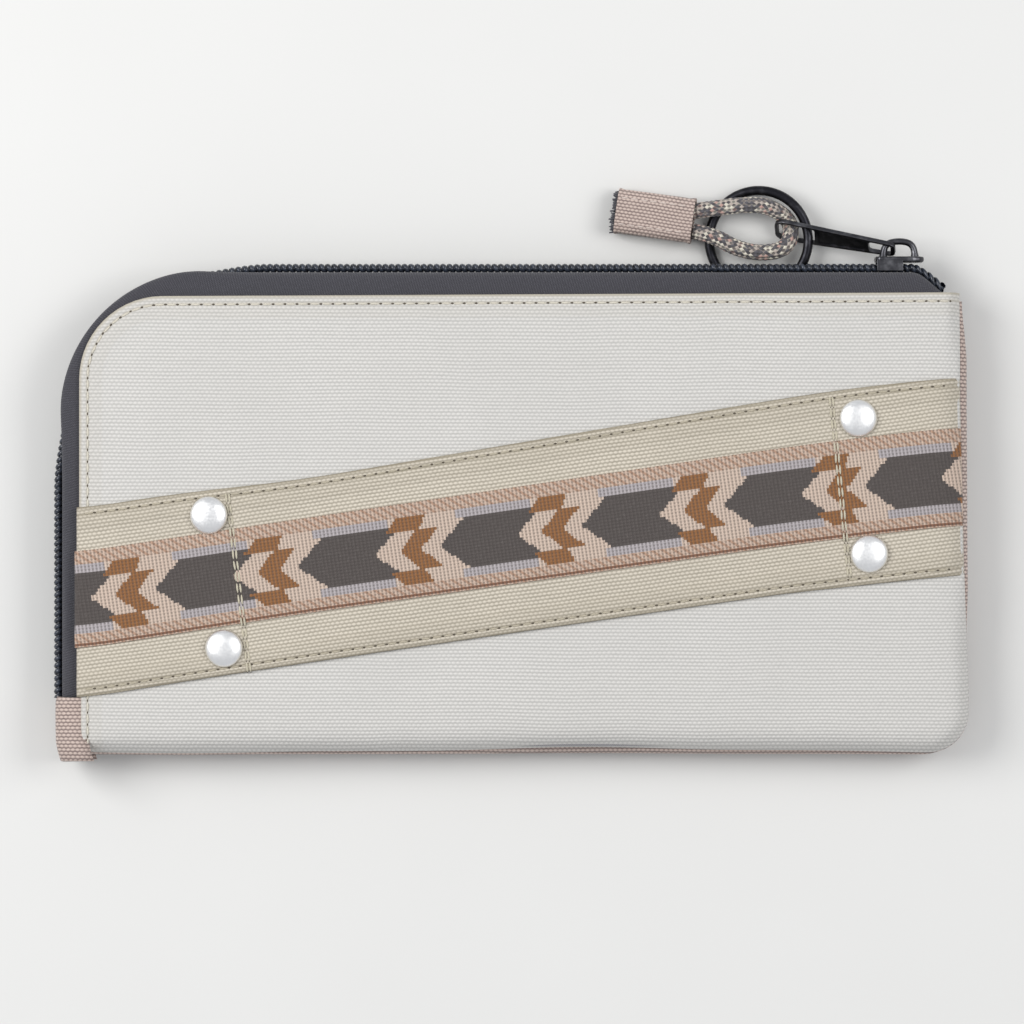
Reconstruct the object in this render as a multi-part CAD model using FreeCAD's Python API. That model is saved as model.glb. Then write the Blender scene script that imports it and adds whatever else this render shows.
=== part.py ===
import FreeCAD, Part
import math
import os

os.makedirs("parts", exist_ok=True)

V = FreeCAD.Vector

# ---------------------------------------------------------------- dimensions, in mm
# The pouch lies on its back, front up. X runs along its length, Y towards the zip, Z up.
# The origin is on the resting face, under the middle of the pouch.

LEFT = -98.7  # rim of the pouch body, before the zip coils
RIGHT = 99.0
BOTTOM = -52.8
TOP = 53.1
R_ZIP_CORNER = 32.0  # the big corner the zip runs round
R_TOP_RIGHT = 7.0
R_BOTTOM_RIGHT = 9.0
R_BOTTOM_LEFT = 3.0

CROWN_Z = 15.4  # top of the front panel
SEAM_Z = 7.5  # height of the sewn edge
ZIP_Z = 8.6  # height of the middle of the zip

FABRIC = 0.8  # thickness of the outer canvas
TAPE = 0.5
LINING = 0.4
STRAP = 0.9
RIBBON = 0.6

# Each level of the body: height, inset on the zip sides, inset on the sewn sides,
# and which way a thickness moves it (+1 up on the back, -1 down on the front).
LEVELS = (
    (0.0, 26.0, 9.0, 1),
    (1.2, 19.4, 4.0, 1),
    (3.5, 9.0, 1.5, 1),
    (3.6, 0.0, 1.4, 1),
    (SEAM_Z, 0.0, 0.0, 0),
    (14.0, 0.0, 2.5, -1),
    (14.4, 8.0, 3.4, -1),
    (CROWN_Z, 20.0, 10.0, -1),
)

HEM_LEFT = -94.0  # folded edge of the front panel beside the zip
HEM_TOP = 47.5
R_HEM = 18.0
BACK_HEM_LEFT = -92.0
BACK_HEM_TOP = 46.1
TAPE_INSET = 14.0  # how far the zip tapes reach in under the panels
LINING_INSET = 6.5

ZIP_END_Y = -40.6  # lower end of the zip on the left side
ZIP_END_X = 92.0  # right end of the zip on the top side
COIL_DEPTH = 2.0
CHAIN_HALF = 2.6  # half the width of the closed chain
COIL_GAP = 0.6  # half the gap that the slider's post runs in

FOLD_A = V(-98.9, 2.6, 0)  # the line the opened corner folds along
FOLD_B = V(66.0, 53.0, 0)
FOLD_GAP = 0.15

STRAP_ANGLE = 8.3
STRAP_CENTRE_Y = -6.0
STRAP_HALF = 20.8
RIBBON_HALF = 10.0
STRAP_LEFT = -94.2
STRAP_LOW_Z = 9.0

RIVETS = {
    "upper_left": (-65.7, -0.7),
    "lower_left": (-62.4, -29.6),
    "upper_right": (75.4, 20.4),
    "lower_right": (77.8, -9.1),
}
CAP_R = 4.1
CAP_RIM = 0.5
CAP_HEIGHT = 1.7
POST_R = 1.2
WASHER_R = 3.5
WASHER = 0.6

SLIDER_X = 84.8
SLIDER_LENGTH = 10.6
WING = 1.2
WING_FRONT_HALF = 3.8
WING_TAIL_HALF = 3.5
OUTER_WING_Y = 54.55
INNER_WING_Y = 50.35
FLANGE = 0.6
FLANGE_END_Y = 52.6
BRIDGE_R = 0.75
BRIDGE_HALF = 3.4
BRIDGE_RISE = 3.4

TAB_PIVOT = V(83.45, 57.42, ZIP_Z)
TAB_DIRECTION = V(-0.954, 0.185, -0.228)
TAB_TWIST = 32.0
TAB_THICK = 1.0
TAB_EYE_HALF = 2.15
TAB_END_HALF = 3.4
TAB_LENGTH = 26.6
EYE_FROM = 0.38
EYE_TO = 5.4
EYE_HALF = 1.72
HOLE_FROM = 17.5
HOLE_TO = 25.85
HOLE_HALF = 2.7

RING_R = 10.9
WIRE_R = 1.05
RING_CENTRE = V(54.4, 59.7, 2.66)
RING_TILT = V(-0.13, -0.064, 1.0)  # normal of the ring's plane

CORD_R = 1.85
CORD_ROUTE = (
    (40.0, 66.0, 4.50),
    (45.0, 66.6, 5.10),
    (50.6, 67.35, 5.35),
    (56.5, 67.25, 4.40),
    (61.45, 64.15, 1.95),
    (61.4, 59.7, 4.25),
    (59.3, 57.3, 4.90),
    (54.0, 56.7, 5.20),
    (48.8, 58.0, 5.20),
    (44.5, 60.6, 5.00),
    (40.0, 61.6, 4.50),
)
WRAP_LENGTH = 17.0
WRAP_HALF_WIDTH = 4.9
WRAP_HALF_HEIGHT = 2.75
WRAP_DIRECTION = V(-0.985, 0.140, -0.100)


# ---------------------------------------------------------------- small helpers
def corner_arc(cx, cy, z, radius, start):
    """A quarter circle, counter-clockwise from the angle start in degrees."""
    points = []
    for turn in (0.0, 45.0, 90.0):
        a = math.radians(start + turn)
        points.append(V(cx + radius * math.cos(a), cy + radius * math.sin(a), z))
    return Part.Arc(*points).toShape()


def outline(z, left, right, bottom, top, radii):
    """A closed four-sided outline with a rounded corner at each end of each side."""
    tl, tr, br, bl = radii
    edges = [
        Part.makeLine(V(left + bl, bottom, z), V(right - br, bottom, z)),
        corner_arc(right - br, bottom + br, z, br, -90),
        Part.makeLine(V(right, bottom + br, z), V(right, top - tr, z)),
        corner_arc(right - tr, top - tr, z, tr, 0),
        Part.makeLine(V(right - tr, top, z), V(left + tl, top, z)),
        corner_arc(left + tl, top - tl, z, tl, 90),
        Part.makeLine(V(left, top - tl, z), V(left, bottom + bl, z)),
        corner_arc(left + bl, bottom + bl, z, bl, 180),
    ]
    return Part.Wire(edges)


def rim_outline(z, zip_inset, sewn_inset):
    """The pouch's outline, inset by one amount beside the zip and another beside the seam."""
    widest = max(zip_inset, sewn_inset)
    radii = (
        max(R_ZIP_CORNER - zip_inset, 2.0),
        max(R_TOP_RIGHT - widest, 1.5),
        max(R_BOTTOM_RIGHT - sewn_inset, 1.5),
        max(R_BOTTOM_LEFT - widest, 1.5),
    )
    return outline(
        z,
        LEFT + zip_inset,
        RIGHT - sewn_inset,
        BOTTOM + sewn_inset,
        TOP - zip_inset,
        radii,
    )


def body(depth):
    """The whole pouch as a closed solid, lying depth inside its outer face."""
    wires = []
    for z, zip_inset, sewn_inset, way in LEVELS:
        wires.append(rim_outline(z + way * depth, zip_inset + depth, sewn_inset + depth))
    return Part.makeLoft(wires, True, True)


def layer(outer_depth, inner_depth):
    """The skin between two depths."""
    return body(outer_depth).cut(body(inner_depth))


def prism(wire, z_from, z_to):
    """An upright prism on a flat outline drawn at height z_from."""
    return Part.Face(wire).extrude(V(0, 0, z_to - z_from))


def box(x0, x1, y0, y1, z0, z1):
    return Part.makeBox(x1 - x0, y1 - y0, z1 - z0, V(x0, y0, z0))


def polygon_prism(points, z_from, z_to):
    corners = [V(x, y, z_from) for x, y in points]
    corners.append(corners[0])
    return prism(Part.makePolygon(corners), z_from, z_to)


def hem_region(left, top, radius, z_from, z_to):
    """Everything inside a panel's folded edge; open to the sewn sides."""
    return prism(outline(z_from, left, 130, -90, top, (radius, 1, 1, 1)), z_from, z_to)


def fold_side(sign):
    """The half of space on one side of the fold line: +1 is the corner that opens."""
    along = (FOLD_B - FOLD_A).normalize()
    across = V(-along.y, along.x, 0) * sign
    start = FOLD_A - along * 200 + across * FOLD_GAP
    end = FOLD_B + along * 200 + across * FOLD_GAP
    far = across * 300
    points = [(p.x, p.y) for p in (start, end, end + far, start + far)]
    return polygon_prism(points, -20, 40)


def save(name, shape):
    """Write one named piece."""
    shape.exportStep("parts/" + name + ".step")
    print(name, len(shape.Solids), round(shape.Volume, 1), shape.isValid())


def tidy(shape):
    """Keep only the solids of a boolean's result."""
    solids = [s for s in shape.Solids if s.Volume > 0.5]
    return solids[0] if len(solids) == 1 else Part.makeCompound(solids)


# ---------------------------------------------------------------- fabric shell
def rivet_holes():
    holes = []
    for x, y in RIVETS.values():
        holes.append(Part.makeCylinder(POST_R + 0.05, 12, V(x, y, CROWN_Z - 4)))
    return Part.makeCompound(holes)


def front_panel():
    """Canvas of the front, hemmed beside the zip and rolled down to the seam elsewhere."""
    region = hem_region(HEM_LEFT, HEM_TOP, R_HEM, SEAM_Z, 30)
    return layer(0, FABRIC).common(region)


def back_panel():
    """Canvas of the back, with a small round where it turns up to the seam."""
    region = hem_region(BACK_HEM_LEFT, BACK_HEM_TOP, R_HEM, -5, SEAM_Z)
    return layer(0, FABRIC).common(region)


def lining(front):
    """Thin lining behind one panel, stopping short of the zip."""
    inset = LINING_INSET
    z_from, z_to = (SEAM_Z, 30) if front else (-5, SEAM_Z)
    region = hem_region(LEFT + inset, TOP - inset, R_ZIP_CORNER - inset, z_from, z_to)
    return layer(FABRIC + TAPE, FABRIC + TAPE + LINING).common(region)


def zip_span(z_from, z_to):
    """The part of the rim that the zip covers, in plan: the left side and the top."""
    reach = 20.0
    left = box(LEFT - reach, LEFT + 60, ZIP_END_Y, TOP + reach, z_from, z_to)
    top = box(LEFT - reach, ZIP_END_X, 0, TOP + reach, z_from, z_to)
    return left.fuse(top)


def zip_tape(front):
    """Tape of one side: up or down from the teeth, then in under the panel."""
    z_from, z_to = (ZIP_Z + COIL_GAP, 30) if front else (-5, ZIP_Z - COIL_GAP)
    inner = outline(-6, LEFT + TAPE_INSET, 130, -90, TOP - TAPE_INSET, (18, 1, 1, 1))
    strip = layer(FABRIC, FABRIC + TAPE).cut(prism(inner, -6, 40))
    return strip.common(zip_span(z_from, z_to))


def zip_coil(front):
    """One side's row of coil teeth, as a bar round the outside of the tape."""
    if front:
        z_from, z_to = ZIP_Z + COIL_GAP, ZIP_Z + CHAIN_HALF
    else:
        z_from, z_to = ZIP_Z - CHAIN_HALF, ZIP_Z - COIL_GAP
    outside = prism(rim_outline(z_from, FABRIC - COIL_DEPTH, FABRIC - COIL_DEPTH), z_from, z_to)
    inside = prism(rim_outline(z_from, FABRIC, FABRIC), z_from, z_to)
    return outside.cut(inside).common(zip_span(z_from, z_to))


def zip_end_tab():
    """Folded scrap of canvas that wraps the lower end of the zip."""
    region = box(LEFT - 5, HEM_LEFT - 0.05, BOTTOM - 5, ZIP_END_Y - 0.1, 3.3, 30)
    return layer(0, FABRIC).common(region)


# ---------------------------------------------------------------- strap and rivets
def strap_layer(outer, inner, half_width):
    """A band laid slantwise across the front, following the panel under it."""
    slope = math.tan(math.radians(STRAP_ANGLE))
    rise = half_width / math.cos(math.radians(STRAP_ANGLE))
    ends = []
    for x in (STRAP_LEFT, 130):
        ends.append((x, STRAP_CENTRE_Y + slope * x))
    (x0, y0), (x1, y1) = ends
    region = polygon_prism(
        [(x0, y0 - rise), (x1, y1 - rise), (x1, y1 + rise), (x0, y0 + rise)],
        STRAP_LOW_Z,
        30,
    )
    return layer(outer, inner).common(region)


def rivet_cap(x, y):
    """Low domed cap that sits on the strap."""
    rise = CAP_HEIGHT - CAP_RIM
    dome_r = (CAP_R ** 2 + rise ** 2) / (2 * rise)
    ball = Part.makeSphere(dome_r, V(0, 0, CAP_HEIGHT - dome_r))
    cap = Part.makeCylinder(CAP_R, CAP_HEIGHT).common(ball)
    cap.translate(V(x, y, CROWN_Z + STRAP))
    return cap


def rivet_post(x, y):
    """Shank through strap, panel and lining, with a flat washer inside."""
    top = CROWN_Z + STRAP
    bottom = CROWN_Z - FABRIC - TAPE - LINING
    shank = Part.makeCylinder(POST_R, top - bottom, V(x, y, bottom))
    washer = Part.makeCylinder(WASHER_R, WASHER, V(x, y, bottom - WASHER))
    return shank.fuse(washer).removeSplitter()


# ---------------------------------------------------------------- slider
def wing(y_from, y_to, front_half, tail_half):
    """Shield-shaped plate of the slider, wide at its mouth end."""
    x0 = SLIDER_X - SLIDER_LENGTH / 2
    x1 = SLIDER_X + SLIDER_LENGTH / 2
    waist = SLIDER_X + 0.5
    points = [
        V(x0, y_from, ZIP_Z - tail_half),
        V(waist, y_from, ZIP_Z - tail_half),
        V(x1 - 2.5, y_from, ZIP_Z - front_half),
        V(x1, y_from, ZIP_Z - front_half + 1.6),
        V(x1, y_from, ZIP_Z + front_half - 1.6),
        V(x1 - 2.5, y_from, ZIP_Z + front_half),
        V(waist, y_from, ZIP_Z + tail_half),
        V(x0, y_from, ZIP_Z + tail_half),
    ]
    points.append(points[0])
    plate = Part.Face(Part.makePolygon(points)).extrude(V(0, y_to - y_from, 0))
    return plate


def slider_body():
    """Two plates held by the post between the teeth, with turned-in flanges outside."""
    x0 = SLIDER_X - SLIDER_LENGTH / 2
    outer = wing(OUTER_WING_Y, OUTER_WING_Y + WING, WING_FRONT_HALF, WING_TAIL_HALF)
    inner = wing(INNER_WING_Y, INNER_WING_Y + WING, WING_FRONT_HALF - 0.3, WING_TAIL_HALF - 0.3)
    post = box(
        SLIDER_X + 0.6,
        SLIDER_X + 4.4,
        INNER_WING_Y + WING - 0.1,
        OUTER_WING_Y + 0.1,
        ZIP_Z - 0.3,
        ZIP_Z + 0.3,
    )
    whole = outer.fuse(inner).fuse(post)
    for sign in (-1, 1):
        z_out = ZIP_Z + sign * WING_TAIL_HALF
        z_in = z_out - sign * FLANGE
        flange = box(
            x0,
            SLIDER_X + 0.5,
            FLANGE_END_Y,
            OUTER_WING_Y + 0.1,
            min(z_in, z_out),
            max(z_in, z_out),
        )
        whole = whole.fuse(flange)
    return whole.removeSplitter()


def route_wire(points, tightness=0.45):
    """Straight runs through the points, joined by arcs that touch both runs."""
    points = [V(*p) for p in points]
    edges = []
    start = points[0]
    for before, corner, after in zip(points, points[1:], points[2:]):
        into = (corner - before).normalize()
        out = (after - corner).normalize()
        turn = math.acos(max(-1.0, min(1.0, into.dot(out))))
        shorter = min((corner - before).Length, (after - corner).Length)
        trim = tightness * shorter
        radius = trim / math.tan(turn / 2)
        arc_start = corner - into * trim
        arc_end = corner + out * trim
        inward = (out - into).normalize()
        centre = corner + inward * (radius / math.cos(turn / 2))
        middle = centre - inward * radius
        edges.append(Part.makeLine(start, arc_start))
        edges.append(Part.Arc(arc_start, middle, arc_end).toShape())
        print("bend radius", round(radius, 2))
        start = arc_end
    edges.append(Part.makeLine(start, points[-1]))
    return Part.Wire(edges)


def tube(points, radius, tightness=0.45):
    """A round tube along a route."""
    path = route_wire(points, tightness)
    begin = V(*points[0])
    heading = (V(*points[1]) - begin).normalize()
    ring = Part.Wire(Part.makeCircle(radius, begin, heading))
    solid = path.makePipeShell([ring], True, False)
    print("tube length", round(path.Length, 2), "volume ratio",
          round(solid.Volume / (math.pi * radius ** 2 * path.Length), 4))
    return solid


def slider_bridge():
    """Low arch on the slider that the pull tab hangs on."""
    foot = OUTER_WING_Y + WING - 0.35
    crest = OUTER_WING_Y + WING + BRIDGE_RISE
    points = (
        (SLIDER_X - BRIDGE_HALF, foot, ZIP_Z),
        (SLIDER_X - BRIDGE_HALF, crest, ZIP_Z),
        (SLIDER_X + BRIDGE_HALF, crest, ZIP_Z),
        (SLIDER_X + BRIDGE_HALF, foot, ZIP_Z),
    )
    return tube(points, BRIDGE_R, 0.42)


# ---------------------------------------------------------------- pull tab, ring, cord
def tab_frame():
    """Directions along the tab, across it and square to its face."""
    along = V(TAB_DIRECTION).normalize()
    up = (V(0, 0, 1) - along * along.z).normalize()
    side = along.cross(up)
    if side.y < 0:
        side = side * -1
    twist = math.radians(TAB_TWIST)
    across = up * math.cos(twist) + side * math.sin(twist)
    face = up * math.sin(twist) - side * math.cos(twist)
    return along, across, face


def tab_plate(start, end, half_start, half_end, thick):
    """A flat tapered plate with round ends, laid in the tab's plane."""
    along, across, face = tab_frame()
    base = TAB_PIVOT - face * (thick / 2)

    def at(a, w):
        return base + along * a + across * w

    r0 = half_start * 0.7
    r1 = half_end * 0.7
    edges = [
        Part.makeLine(at(start + r0, -half_start), at(end - r1, -half_end)),
        Part.Arc(at(end - r1, -half_end), at(end, 0), at(end - r1, half_end)).toShape(),
        Part.makeLine(at(end - r1, half_end), at(start + r0, half_start)),
        Part.Arc(at(start + r0, half_start), at(start, 0), at(start + r0, -half_start)).toShape(),
    ]
    return Part.Face(Part.Wire(edges)).extrude(face * thick)


def tab_slot(start, end, half_start, half_end, radius):
    """A slot through the tab with rounded corners, as a fused set of plain cutters."""
    along, across, face = tab_frame()
    base = TAB_PIVOT - face * 3

    def at(a, w):
        return base + along * a + across * w

    a0, a1 = start + radius, end - radius
    w0, w1 = half_start - radius, half_end - radius
    outline_points = [
        at(start, -w0), at(start, w0), at(a0, half_start), at(a1, half_end),
        at(end, w1), at(end, -w1), at(a1, -half_end), at(a0, -half_start),
    ]
    outline_points.append(outline_points[0])
    return Part.Face(Part.makePolygon(outline_points)).extrude(face * 6)


def pull_tab():
    """Flat metal tab with an eye for the bridge and a wide slot for ring and cord."""
    plate = tab_plate(-0.55, TAB_LENGTH, TAB_EYE_HALF, TAB_END_HALF, TAB_THICK)
    eye = tab_slot(EYE_FROM, EYE_TO, EYE_HALF, EYE_HALF, 0.25)
    hole = tab_slot(HOLE_FROM, HOLE_TO, HOLE_HALF, HOLE_HALF, 0.5)
    return plate.cut(eye).cut(hole)


def pull_ring():
    """Plain wire ring through the tab's slot."""
    return Part.makeTorus(RING_R, WIRE_R, RING_CENTRE, V(RING_TILT).normalize())


def pull_cord():
    """Round cord looped through the tab's slot, both ends meeting the wrap."""
    return tube(CORD_ROUTE, CORD_R)


def cord_wrap():
    """Canvas sleeve sewn round the two ends of the cord."""
    along = V(WRAP_DIRECTION).normalize()
    side = V(0, 0, 1).cross(along).normalize()
    up = along.cross(side)
    mouth = (V(*CORD_ROUTE[0]) + V(*CORD_ROUTE[-1])) * 0.5
    w, h = WRAP_HALF_WIDTH, WRAP_HALF_HEIGHT
    r = h * 0.8

    def at(s, u):
        return mouth + side * s + up * u

    k = r * (1 - math.cos(math.radians(45)))
    edges = []
    for sx, sy in ((1, 1), (-1, 1), (-1, -1), (1, -1)):
        a = at(sx * w, sy * (h - r))
        b = at(sx * (w - k), sy * (h - k))
        c = at(sx * (w - r), sy * h)
        points = (a, b, c) if sx * sy > 0 else (c, b, a)
        edges.append(Part.Arc(*points).toShape())
    loop = []
    for edge, following in zip(edges, edges[1:] + edges[:1]):
        loop.append(edge)
        loop.append(Part.makeLine(edge.lastVertex().Point, following.firstVertex().Point))
    return Part.Face(Part.Wire(loop)).extrude(along * WRAP_LENGTH)


# ---------------------------------------------------------------- build every piece
def main():
    holes = rivet_holes()
    corner = fold_side(1)
    rest = fold_side(-1)

    panel = front_panel()
    inner = lining(True)
    tape = zip_tape(True)
    coil = zip_coil(True)

    save("front_panel", tidy(panel.common(rest).cut(holes)))
    save("front_panel_corner", tidy(panel.common(corner)))
    save("front_lining", tidy(inner.common(rest).cut(holes)))
    save("front_lining_corner", tidy(inner.common(corner)))
    save("zip_tape_front", tidy(tape.common(rest)))
    save("zip_tape_front_corner", tidy(tape.common(corner)))
    save("zip_coil_front", tidy(coil.common(rest)))
    save("zip_coil_front_corner", tidy(coil.common(corner)))

    save("back_panel", tidy(back_panel()))
    save("back_lining", tidy(lining(False)))
    save("zip_tape_back", tidy(zip_tape(False)))
    save("zip_coil_back", tidy(zip_coil(False)))
    save("zip_end_tab", tidy(zip_end_tab()))

    save("strap_base", tidy(strap_layer(-STRAP, 0, STRAP_HALF).cut(holes)))
    save("strap_ribbon", tidy(strap_layer(-STRAP - RIBBON, -STRAP, RIBBON_HALF)))
    for place, (x, y) in RIVETS.items():
        save("rivet_cap_" + place, rivet_cap(x, y))
        save("rivet_post_" + place, rivet_post(x, y))

    bridge = slider_bridge()
    save("slider_body", tidy(slider_body().cut(bridge)))
    save("slider_bridge", bridge)
    save("pull_tab", tidy(pull_tab()))
    save("pull_ring", pull_ring())
    cord = pull_cord()
    save("pull_cord", cord)
    save("cord_wrap", tidy(cord_wrap().cut(cord)))


main()
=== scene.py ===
import math

import bmesh
import bpy
from bpy.props import FloatProperty, FloatVectorProperty, PointerProperty
from mathutils import Matrix, Vector, noise


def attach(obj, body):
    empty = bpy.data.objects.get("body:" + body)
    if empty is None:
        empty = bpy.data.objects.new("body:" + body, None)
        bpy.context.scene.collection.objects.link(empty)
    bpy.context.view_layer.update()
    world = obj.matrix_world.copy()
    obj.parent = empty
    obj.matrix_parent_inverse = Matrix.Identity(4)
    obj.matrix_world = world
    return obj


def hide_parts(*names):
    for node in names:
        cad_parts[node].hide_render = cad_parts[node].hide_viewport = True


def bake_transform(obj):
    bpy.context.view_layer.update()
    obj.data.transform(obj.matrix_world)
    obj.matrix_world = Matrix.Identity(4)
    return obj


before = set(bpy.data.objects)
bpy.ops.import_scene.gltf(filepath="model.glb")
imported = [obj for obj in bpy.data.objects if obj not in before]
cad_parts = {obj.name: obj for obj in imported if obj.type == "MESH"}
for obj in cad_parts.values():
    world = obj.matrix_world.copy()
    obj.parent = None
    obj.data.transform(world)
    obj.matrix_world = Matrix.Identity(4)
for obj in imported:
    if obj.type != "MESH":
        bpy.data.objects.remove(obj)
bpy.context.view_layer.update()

bl_info = {
    "name": "Canvas Zip Pouch",
    "version": (1, 0, 0),
    "blender": (4, 5, 0),
    "location": "View3D > Sidebar > Pouch",
    "description": "Builds a slim canvas pouch with a zip, a riveted strap and a cord pull",
    "category": "Add Mesh",
}

MM = 0.001

# Rim of the pouch body in mm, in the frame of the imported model.
LEFT, RIGHT, BOTTOM, TOP = -98.7, 99.0, -52.8, 53.1
R_RIM = 32.0
R_BOTTOM_RIGHT = 9.0
HEM_LEFT, HEM_TOP, R_HEM = -94.0, 47.5, 18.0
BACK_HEM_LEFT, BACK_HEM_TOP = -92.0, 46.1
ZIP_END_Y, ZIP_END_X = -40.6, 95.0
ZIP_Z = 8.6

# Height of each face against the distance in from the rim: beside the zip, and beside the seam.
FRONT_ZIP = ((0, 14.0), (4, 14.15), (8, 14.45), (14, 15.0), (20, 15.3), (30, 15.4))
FRONT_SEWN = (
    (0, 7.5), (0.25, 9.2), (0.6, 10.6), (1.0, 11.7), (1.6, 12.9), (2.3, 13.7),
    (3.2, 14.25), (4.5, 14.65), (6.5, 15.0), (10, 15.3), (14, 15.4),
)
BACK_ZIP = ((0, 3.6), (9, 3.5), (14, 2.2), (19.4, 1.1), (23, 0.3), (26, 0.02))
BACK_SEWN = (
    (0, 7.5), (0.3, 6.1), (0.7, 5.0), (1.2, 3.9), (1.9, 2.9), (2.8, 1.9), (4, 1.1),
    (6, 0.35), (9, 0.02),
)

RIVETS = {
    "upper_left": (-65.7, -0.7),
    "lower_left": (-62.4, -29.6),
    "upper_right": (75.4, 20.4),
    "lower_right": (77.8, -9.1),
}
# Edges of the strap and of the ribbon on it: X, then Y.
STRAP_UPPER = (
    (-94.6, 0.6), (-73.3, 3.9), (-45.9, 7.0), (58.5, 24.6), (75.2, 27.0), (99, 29.4))
STRAP_LOWER = (
    (-94.6, -40.7), (-73.3, -37.2), (-45.9, -33.0), (60.4, -17.6), (78.5, -15.7), (99, -13.5))
RIBBON_UPPER = ((-95.2, -8.9), (-45.9, -1.5), (58.5, 13.9), (80, 16.6), (99, 18.5))
RIBBON_LOWER = ((-95.2, -30.0), (-45.9, -22.2), (58.5, -7.4), (80, -4.8), (99, -2.7))
RIBBON_HALF = 10.4
STRAP_SLANT = math.radians(8.4)
CROSS_SEAMS = (((-61.7, 4.3), (-57.0, -33.9)), ((69.8, 25.2), (73.7, -14.8)))
# Distance of the stitches from the folded edges, and of the two threads of a cross seam.
HEM_SEAM, STRAP_SEAM, CROSS_OFFSET = 1.9, 1.5, 0.35
RIGHT_EDGE = ((-53, 0.9), (-38, 1.3), (-15, -0.2), (7, -0.6), (28, -1.2), (48, -0.8))

# Thickness of each cloth but the outer canvas, in mm.
LINING, TAPE, SCRAP, STRAP, RIBBON, SLEEVE = 0.3, 0.45, 0.8, 0.7, 0.4, 0.7
# Rows of the canvas weave stand this many thread pitches apart.
ROW_SPACING = 1.58

SLIDER_X = 84.8
TAB_PIVOT = Vector((83.45, 57.42, 8.6))
TAB_DIRECTION = Vector((-0.954, 0.185, -0.228)).normalized()
TAB_TWIST = 32.0
RING_R, WIRE_R = 10.9, 1.05
RING_CENTRE = Vector((54.4, 59.7, 2.66))
RING_TILT = Vector((-0.13, -0.064, 1.0)).normalized()
CORD_R = 1.85
CORD_ROUTE = (
    (40.0, 66.0, 4.50),
    (45.0, 66.6, 5.10),
    (50.6, 67.35, 5.35),
    (56.5, 67.25, 4.40),
    (61.45, 64.15, 1.95),
    (61.4, 59.7, 4.25),
    (59.3, 57.3, 4.90),
    (54.0, 56.7, 5.20),
    (48.8, 58.0, 5.20),
    (44.5, 60.6, 5.00),
    (40.0, 61.6, 4.50),
)
WRAP_LENGTH, WRAP_HALF_WIDTH, WRAP_HALF_HEIGHT = 17.0, 4.9, 2.75
WRAP_DIRECTION = Vector((-0.985, 0.140, -0.100)).normalized()

FLOOR_Z, FLOOR_SIZE = -0.05, 1400
WORLD_LIGHT = 0.62
# The camera's height in metres, and the width that it sees at VIEW_LEVEL.
CAMERA_HEIGHT, VIEW_WIDTH, VIEW_LEVEL = 1.2, 0.2226, 0.0154


# ---------------------------------------------------------------- shape of the cloth
def smooth(low, high, x):
    t = min(max((x - low) / (high - low), 0.0), 1.0)
    return t * t * (3 - 2 * t)


def table(rows, x):
    """Straight-line value from rows of (x, value)."""
    if x <= rows[0][0]:
        return rows[0][1]
    for (x0, y0), (x1, y1) in zip(rows, rows[1:]):
        if x <= x1:
            return y0 + (y1 - y0) * (x - x0) / (x1 - x0)
    return rows[-1][1]


def curve(rows, x):
    """As table, but averaged over 8 mm each way, so that an edge has no corners."""
    return sum(table(rows, x + d) for d in (-8, -4, 0, 4, 8)) / 5


def zip_inset(x, y):
    cx, cy = LEFT + R_RIM, TOP - R_RIM
    if x < cx and y > cy:
        return R_RIM - math.hypot(x - cx, y - cy)
    return min(x - LEFT, TOP - y)


def sewn_inset(x, y):
    cx, cy = RIGHT - R_BOTTOM_RIGHT, BOTTOM + R_BOTTOM_RIGHT
    if x > cx and y < cy:
        return R_BOTTOM_RIGHT - math.hypot(x - cx, y - cy)
    return min(RIGHT - x, y - BOTTOM)


def soft_min(a, b, width):
    h = max(width - abs(a - b), 0.0) / width
    return min(a, b) - h * h * width / 4


def corner_drop(radius, reach):
    """How far a rounded corner draws an edge back, at a reach past where it begins."""
    return radius - math.sqrt(max(radius ** 2 - reach ** 2, 0)) if reach > 0 else 0.0


def ripple(x, y):
    """Slow unevenness of the stiff canvas."""
    slow = noise.noise(Vector((x * 0.021, y * 0.034, 3.1)))
    quick = noise.noise(Vector((x * 0.07, y * 0.09, 8.4)))
    return 0.34 * slow + 0.10 * quick


def front_height(x, y):
    a, b = zip_inset(x, y), sewn_inset(x, y)
    height = soft_min(table(FRONT_ZIP, a), table(FRONT_SEWN, b), 0.8)
    return height + ripple(x, y) * smooth(1.0, 9.0, min(a - 4, b))


def back_height(x, y):
    a, b = zip_inset(x, y), sewn_inset(x, y)
    return max(-soft_min(-table(BACK_ZIP, a), -table(BACK_SEWN, b), 0.5), 0.03)


def lean(x, y):
    """How far the sewn right side of the front stands in or out of the straight rim."""
    return curve(RIGHT_EDGE, y) * smooth(55, 97, x)


def low_edge(x):
    """The front's rolled lower edge rises a little along the middle."""
    return 0.2 + 1.1 * math.exp(-(((x - 20) / 45) ** 2)) + 0.15 * math.sin(x * 0.11)


def pull_over(x, y):
    """1 along the right side, where the back canvas is drawn up over the edge."""
    return smooth(-34, -14, y) * (1 - smooth(32, 47, y)) * smooth(90, 97, x)


def seam_lift(x, y, z):
    """Raises the sewn edge where the back canvas is drawn up; the crown stays put."""
    right = pull_over(x, y) * 4.2 * (1 - smooth(7.5, 15.4, z))
    low_side = (1 - smooth(-48, -45, y)) * smooth(-94, -86, x) * (1 - smooth(86, 96, x))
    return right + 1.6 * (1 - smooth(7.5, 13.5, z)) * low_side


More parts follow.
